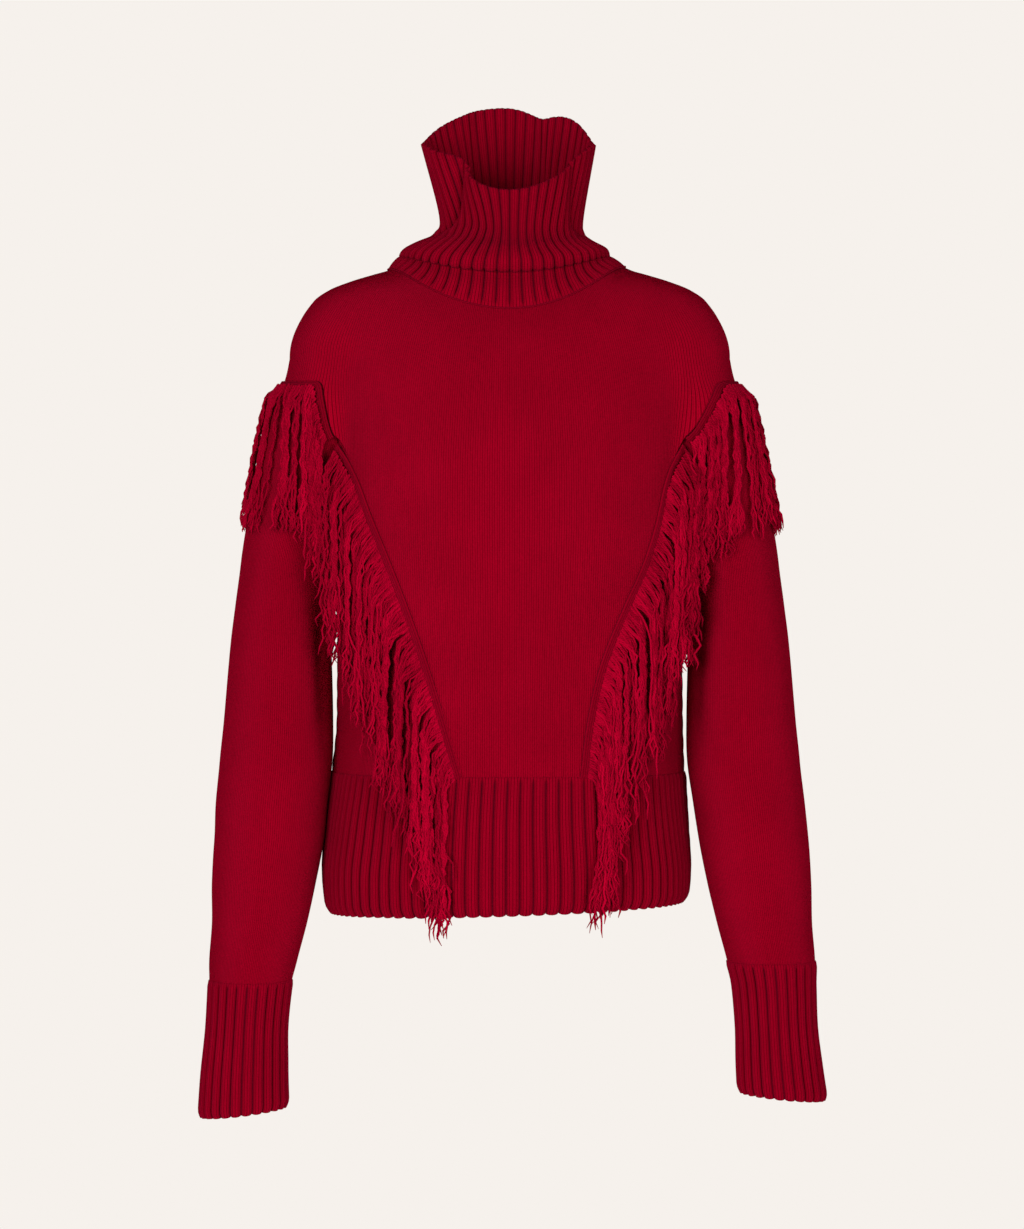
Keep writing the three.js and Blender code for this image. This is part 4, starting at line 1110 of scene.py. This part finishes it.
def fringe(name, kind, seam, toward, seed):
    """Yarns along a band, as one mesh of tubes, each with its own tone."""
    random = np.random.default_rng(seed)
    away = square_to(seam, toward)
    reach = BAND["from_seam"] + BAND["width"] * BAND["root_share"]
    roots = band_row(seam, away, reach, BAND["lift"] + BAND["root_lift"])
    path, bunch = fringe_paths(kind, roots, away, random)
    yarns = len(path)
    out = unit(gradient(drape_distance, path))
    along = unit(np.gradient(path, axis=1))
    out = unit(out - along * (out * along).sum(-1, keepdims=True))
    across = np.cross(along, out)
    gone = np.linspace(0, 1, YARN_RINGS)
    thick = YARN_RADIUS * random.uniform(*DIFFER["thickness"], (yarns, 1))
    thinned = YARN_THINS * to_tip(gone, STARTS["thinning"])
    thick = thick * (1 - thinned)[None]
    thick = thick * (1 + YARN_BEADS["rise"] * np.sin(gone * YARN_BEADS["waves"])[None])
    rings = path[:, :, None] + spokes(out, across, YARN_SIDES) * thick[:, :, None, None]
    corners = rings.reshape(-1, 3)
    quads, at_row, at_column = grid_faces(YARN_RINGS, YARN_SIDES, False, True)
    per_yarn = YARN_RINGS * YARN_SIDES
    start = (np.arange(yarns) * per_yarn)[:, None, None]
    sides = (quads[None] + start).reshape(-1, 4)
    rim = np.arange(YARN_SIDES)[None] + start[:, 0]
    ends = [rim[:, ::-1], rim + per_yarn - YARN_SIDES]
    if not outward(corners, sides):
        raise ValueError("the yarns are inside out")
    step = FRINGE[kind]["length"] / (YARN_RINGS - 1)
    side_spots = np.stack([at_column / YARN_SIDES, at_row * step], axis=-1)
    cap_spots = np.zeros((2 * yarns * YARN_SIDES, 2))
    spots = np.concatenate([np.tile(side_spots.reshape(-1, 2), (yarns, 1)), cap_spots])
    faces = sides.tolist() + ends[0].tolist() + ends[1].tolist()
    piece = make_piece(f"{name}_yarns", corners, faces, spots, FRINGE_YARN, "cord")
    tone = piece.data.attributes.new("tone", "FLOAT", "POINT")
    own, shared = random.random(yarns), random.random(bunch[-1] + 1)[bunch]
    tones = mix(own, shared, BUNCH_SHARE["tone"])
    tone.data.foreach_set("value", np.repeat(tones, per_yarn).astype(np.float32))
    return piece


# Finishes


class Value:
    """A number that varies over a surface. Sums of these add their Math nodes."""

    def __init__(self, finish, socket):
        self.finish = finish
        self.socket = socket

    def math(self, operation, *others, swap=False):
        terms = [self, *others]
        if swap:
            terms.reverse()
        return self.finish.node("ShaderNodeMath", {"operation": operation}, *terms)

    def __add__(self, other):
        return self.math("ADD", other)

    def __sub__(self, other):
        return self.math("SUBTRACT", other)

    def __rsub__(self, other):
        return self.math("SUBTRACT", other, swap=True)

    def __mul__(self, other):
        return self.math("MULTIPLY", other)

    def __truediv__(self, other):
        return self.math("DIVIDE", other)

    def __rtruediv__(self, other):
        return self.math("DIVIDE", other, swap=True)

    def __pow__(self, other):
        return self.math("POWER", other)

    def __mod__(self, other):
        return self.math("FLOORED_MODULO", other)

    def __abs__(self):
        return self.math("ABSOLUTE")

    __radd__ = __add__
    __rmul__ = __mul__

    def sine(self):
        return self.math("SINE")


class Finish:
    """A material whose nodes are added by name, with their settings first."""

    def __init__(self, name, **constants):
        self.material = bpy.data.materials.new(name)
        self.material.use_nodes = True
        self.nodes = self.material.node_tree.nodes
        self.links = self.material.node_tree.links
        self.shader = self.nodes["Principled BSDF"]
        for socket, value in constants.items():
            self.shader.inputs[socket.replace("_", " ").title().replace("Ior", "IOR")].default_value = value

    def node(self, kind, settings, *inputs, out=0, **named):
        made = self.nodes.new(kind)
        for key, value in settings.items():
            setattr(made, key, value)
        wanted = list(enumerate(inputs)) + [(key.replace("_", " ").title(), v) for key, v in named.items()]
        for key, value in wanted:
            self.feed(made.inputs[key], value)
        return Value(self, made.outputs[out])

    def feed(self, socket, value):
        if isinstance(value, Value):
            self.links.new(value.socket, socket)
        elif value is not None:
            socket.default_value = value

    def mix_colours(self, factor, a, b):
        made = self.nodes.new("ShaderNodeMix")
        made.data_type = "RGBA"
        for key, value in (("Factor_Float", factor), ("A_Color", a), ("B_Color", b)):
            self.feed(next(s for s in made.inputs if s.identifier == key), value)
        return Value(self, next(s for s in made.outputs if s.identifier == "Result_Color"))

    def finish_with(self, colour, height, rise):
        normal = self.node("ShaderNodeBump", {}, strength=1.0, distance=rise * MM, height=height)
        self.feed(self.shader.inputs["Base Color"], colour)
        self.feed(self.shader.inputs["Normal"], normal)
        return self.material


def rgb(red, green, blue):
    """A colour given as it shows on screen, from 0 to 255, as the light that it is."""
    parts = [c / 255 for c in (red, green, blue)]
    return (*[c / 12.92 if c <= 0.04045 else ((c + 0.055) / 1.055) ** 2.4 for c in parts], 1)


WOOL = {
    "roughness": 0.95,
    "specular_ior_level": 0.0,
    "sheen_weight": 0.1,
    "sheen_roughness": 0.5,
    "sheen_tint": (1.0, 0.03, 0.14, 1),
}
STITCH_ROW = 1.45  # height of a row of stitches
STITCH_SLANT = 1.1  # how much a stitch's two legs slant
FUZZ = 1.3  # size of the nap's unevenness
YARN_FUZZ = 0.9
CLOUD = 45  # size of the dye's unevenness
STREAK = (3.1, 42)  # width and length of a streak along the columns
YARN_TWIST = 3.4  # length of a turn of a yarn's plies
# How much each thing lightens the wool, and what is taken off to bring the middle back. The stitch columns,
# the stitches' height and the yarn's plies add painted shade and light from the knit's relief; the streaks,
# fuzz, cloud and tones are the wool's own unevenness.
KNIT_TONE_AND_PAINTED_SHADE = {"column": 0.42, "height": 0.25, "streaks": 0.12, "fuzz": 0.35, "cloud": 0.18, "less": 0.6}
YARN_TONE_AND_PAINTED_SHADE = {"tone": 0.65, "ply": 0.25, "fuzz": 0.35, "less": 0.12}
PAINTED_FURROW_SHADE = 0.66  # how much of the painted furrow shade shows at the furrow's bottom


def wool_cloud(finish, size, detail=2):
    """Soft unevenness of the dye and nap, from 0 to 1."""
    place = finish.node("ShaderNodeTexCoord", {}, out="Object")
    return finish.node("ShaderNodeTexNoise", {}, vector=place, scale=1 / (size * MM), detail=detail)


def stitches(finish):
    """The height of plain knit in columns of small V shapes, the columns alone, and the way across."""
    uv = finish.node("ShaderNodeUVMap", {"uv_map": "knit"})
    across = finish.node("ShaderNodeSeparateXYZ", {}, uv, out="X")
    up = finish.node("ShaderNodeSeparateXYZ", {}, uv, out="Y")
    from_middle = abs((across / STITCH) % 1 - 0.5)
    column = 1 - (from_middle * 2) ** 3
    leg = 1 - abs(from_middle * 4 - 1) ** 2
    ply = 1 - abs(((up / STITCH_ROW - from_middle * STITCH_SLANT) % 1) * 2 - 1) ** 2
    return leg * (0.5 + 0.5 * ply), column, across


def column_streaks(finish):
    """Columns of stitches that run a little darker or lighter for a way, from 0 to 1."""
    uv = finish.node("ShaderNodeUVMap", {"uv_map": "knit"})
    place = finish.node("ShaderNodeMapping", {}, vector=uv, scale=(1 / STREAK[0], 1 / STREAK[1], 1))
    return finish.node("ShaderNodeTexNoise", {}, vector=place, scale=1.0, detail=2)


def knit_tone_and_painted_shade(finish, height, column):
    """How light the wool is: painted shade between the columns and painted light on the stitches' raised
    legs, with the wool's own unevenness of yarn and nap.
    """
    fuzz = wool_cloud(finish, FUZZ)
    cloud = wool_cloud(finish, CLOUD, 3)
    # The column and height terms are painted shade and light of the stitches' relief
    shade = column * KNIT_TONE_AND_PAINTED_SHADE["column"] + height * KNIT_TONE_AND_PAINTED_SHADE["height"]
    shade = shade + column_streaks(finish) * KNIT_TONE_AND_PAINTED_SHADE["streaks"]
    shade = shade + fuzz * KNIT_TONE_AND_PAINTED_SHADE["fuzz"] + cloud * KNIT_TONE_AND_PAINTED_SHADE["cloud"]
    return shade - KNIT_TONE_AND_PAINTED_SHADE["less"], fuzz


def knit_finish(name, dark, light, depth):
    finish = Finish(name, **WOOL)
    height, column, _ = stitches(finish)
    shade, fuzz = knit_tone_and_painted_shade(finish, height, column)
    colour = finish.mix_colours(shade, dark, light)
    return finish.finish_with(colour, height + column + fuzz * 0.6, depth)


def rib_finish(name, dark, light, furrow_shade, depth):
    finish = Finish(name, **WOOL)
    height, column, across = stitches(finish)
    shade, fuzz = knit_tone_and_painted_shade(finish, height, column)
    colour = finish.mix_colours(shade, dark, light)
    # Painted shade: the furrows between the ribs are painted darker, faded where the ribs haven't risen
    in_rib = abs((across / (STITCH * RIB_STITCHES)) % 1 - 0.5) * 2
    smooth = {"interpolation_type": "SMOOTHSTEP"}
    sunk = finish.node("ShaderNodeMapRange", smooth, in_rib, 0.5, 1.0, 0.0, PAINTED_FURROW_SHADE)
    risen = finish.node("ShaderNodeAttribute", {"attribute_name": "risen"}, out="Fac")
    colour = finish.mix_colours(sunk * risen, colour, furrow_shade)
    return finish.finish_with(colour, height + column + fuzz * 0.6, depth)


def yarn_finish(name, dark, light, depth):
    """Two plies twisted round each other, with painted shade in stripes between them, and a tone of its own
    for each yarn.
    """
    finish = Finish(name, **WOOL)
    uv = finish.node("ShaderNodeUVMap", {"uv_map": "knit"})
    around = finish.node("ShaderNodeSeparateXYZ", {}, uv, out="X")
    along = finish.node("ShaderNodeSeparateXYZ", {}, uv, out="Y")
    ply = 0.5 + 0.5 * ((around * 2 + along / YARN_TWIST) * (2 * math.pi)).sine()
    fuzz = wool_cloud(finish, YARN_FUZZ)
    tone = finish.node("ShaderNodeAttribute", {"attribute_name": "tone"}, out="Fac")
    # The ply stripes are painted shade of the twist; the tone and fuzz are the yarn's own unevenness
    shade = tone * YARN_TONE_AND_PAINTED_SHADE["tone"] + ply * YARN_TONE_AND_PAINTED_SHADE["ply"] + fuzz * YARN_TONE_AND_PAINTED_SHADE["fuzz"]
    shade = shade - YARN_TONE_AND_PAINTED_SHADE["less"]
    colour = finish.mix_colours(shade, dark, light)
    return finish.finish_with(colour, ply + fuzz * 0.5, depth)


PLAIN_KNIT = knit_finish("plain_knit", rgb(110, 0, 16), rgb(190, 1, 42), 0.5)
# The third colour of each rib finish is painted shade for the furrows between its ribs
RIB_KNIT = rib_finish("rib_knit", rgb(100, 0, 15), rgb(170, 1, 37), rgb(67, 0, 8), 0.4)
COLLAR_KNIT = rib_finish("collar_knit", rgb(102, 0, 15), rgb(184, 1, 40), rgb(54, 0, 6), 0.45)
BAND_KNIT = knit_finish("band_knit", rgb(98, 0, 15), rgb(174, 1, 38), 0.6)
FRINGE_YARN = yarn_finish("fringe_yarn", rgb(78, 0, 11), rgb(168, 1, 38), 0.35)

# The sweater

PANEL_CUT = Cut(8)
SLEEVE_CUT = Cut(6)
BESIDE = {"front": 11, "sleeve": 4}  # how many rows of points away a band's direction is taken
SEEDS = {"front": 11, "sleeve": 23}


def build_sweater():
    seams = {side: seams_of(side, PANEL_CUT) for side in SIDES}
    front = front_panel(seams["left"], seams["right"], PANEL_CUT)
    back = back_panel(seams["left"], seams["right"], PANEL_CUT)
    made = {
        "front_panel": knit_piece("front_panel", front, "body", body_spots(front, -1)),
        "back_panel": knit_piece("back_panel", back, "body", body_spots(back, 1)),
        "hem_rib": hem_rib(),
        "collar": collar(),
        "neck_seam_cord": seam_cord(),
    }
    for number, side in enumerate(SIDES):
        panel = side_panel(seams[side], side, PANEL_CUT)
        made[f"side_front_{side}"] = knit_piece(f"side_front_{side}", panel, "body", body_spots(panel, -1))
        sleeve = sleeve_tube(seams_of(side, SLEEVE_CUT), side, SLEEVE_CUT)
        made[f"sleeve_{side}"] = knit_piece(f"sleeve_{side}", sleeve, "sleeve", sleeve_spots(sleeve), True)
        made[f"cuff_{side}"] = cuff(side)

        # The front's band lies beside its seam, and the sleeve's goes over the arm to that seam's top
        seam_column, step = (-1, -1) if side == "left" else (0, 1)
        beside = seam_column + step * BESIDE["front"]
        reach = round(CAP_FRINGE_ANGLE / 360 * SLEEVE_CUT.armhole)
        over = np.arange(-reach, reach + 1) % SLEEVE_CUT.armhole
        lines = {
            "front": (panel[:-1, seam_column], panel[:-1, beside]),
            "sleeve": (sleeve[0, over], sleeve[BESIDE["sleeve"], over]),
        }
        for place, (seam, toward) in lines.items():
            name = f"fringe_{place}_{side}"
            made[f"band_{place}_{side}"] = band(f"band_{place}_{side}", seam, toward)
            made[name] = fringe(name, place, seam, toward, SEEDS[place] + number)
            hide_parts(name)
            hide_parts(name)


build_sweater()

# Studio

BACKGROUND = rgb(246, 241, 236)
AMBIENT = 0.25  # how much of the backdrop's brightness falls on the sweater
FLOOR = {"radius": 1150, "z": -1250, "sides": 64}
# Where each light is, what it faces, how wide it is and how strong
LIGHTS = [
    ("key", (-1100, -2800, -100), (0, 0, -330), 1500, 90),
    ("fill", (1500, -2600, -300), (0, 0, -330), 1500, 56),
    ("back_key", (1100, 2800, 300), (0, 0, -330), 1500, 90),
    ("back_fill", (-1500, 2600, 100), (0, 0, -330), 1500, 56),
]


def build_studio():
    world = bpy.data.worlds.new("studio")
    world.use_nodes = True
    nodes, links = world.node_tree.nodes, world.node_tree.links
    seen = nodes["Background"]
    seen.inputs["Color"].default_value = BACKGROUND
    falling = nodes.new("ShaderNodeBackground")
    falling.inputs["Color"].default_value = BACKGROUND
    falling.inputs["Strength"].default_value = AMBIENT
    either = nodes.new("ShaderNodeMixShader")
    links.new(nodes.new("ShaderNodeLightPath").outputs["Is Camera Ray"], either.inputs["Fac"])
    links.new(falling.outputs["Background"], either.inputs[1])
    links.new(seen.outputs["Background"], either.inputs[2])
    links.new(either.outputs["Shader"], nodes["World Output"].inputs["Surface"])
    bpy.context.scene.world = world
    bpy.context.scene.view_settings.view_transform = "Standard"
    for name, at, to, width, power in LIGHTS:
        data = bpy.data.lights.new(name, "AREA")
        data.size = width * MM
        data.energy = power
        lamp = bpy.data.objects.new(name, data)
        lamp.location = Vector(at) * MM
        lamp.rotation_euler = (Vector(to) - Vector(at)).to_track_quat("-Z", "Y").to_euler()
        bpy.context.collection.objects.link(lamp)
    turn = 2 * np.pi * np.arange(FLOOR["sides"]) / FLOOR["sides"]
    ring = points(FLOOR["radius"] * np.cos(turn), FLOOR["radius"] * np.sin(turn), FLOOR["z"])
    mesh = bpy.data.meshes.new("floor")
    mesh.from_pydata((ring * MM).tolist(), [], [list(range(FLOOR["sides"]))])
    paint = Finish("floor_paint", roughness=0.9, base_color=rgb(244, 239, 234))
    mesh.materials.append(paint.material)
    floor = bpy.data.objects.new("floor", mesh)
    bpy.context.collection.objects.link(floor)


build_studio()
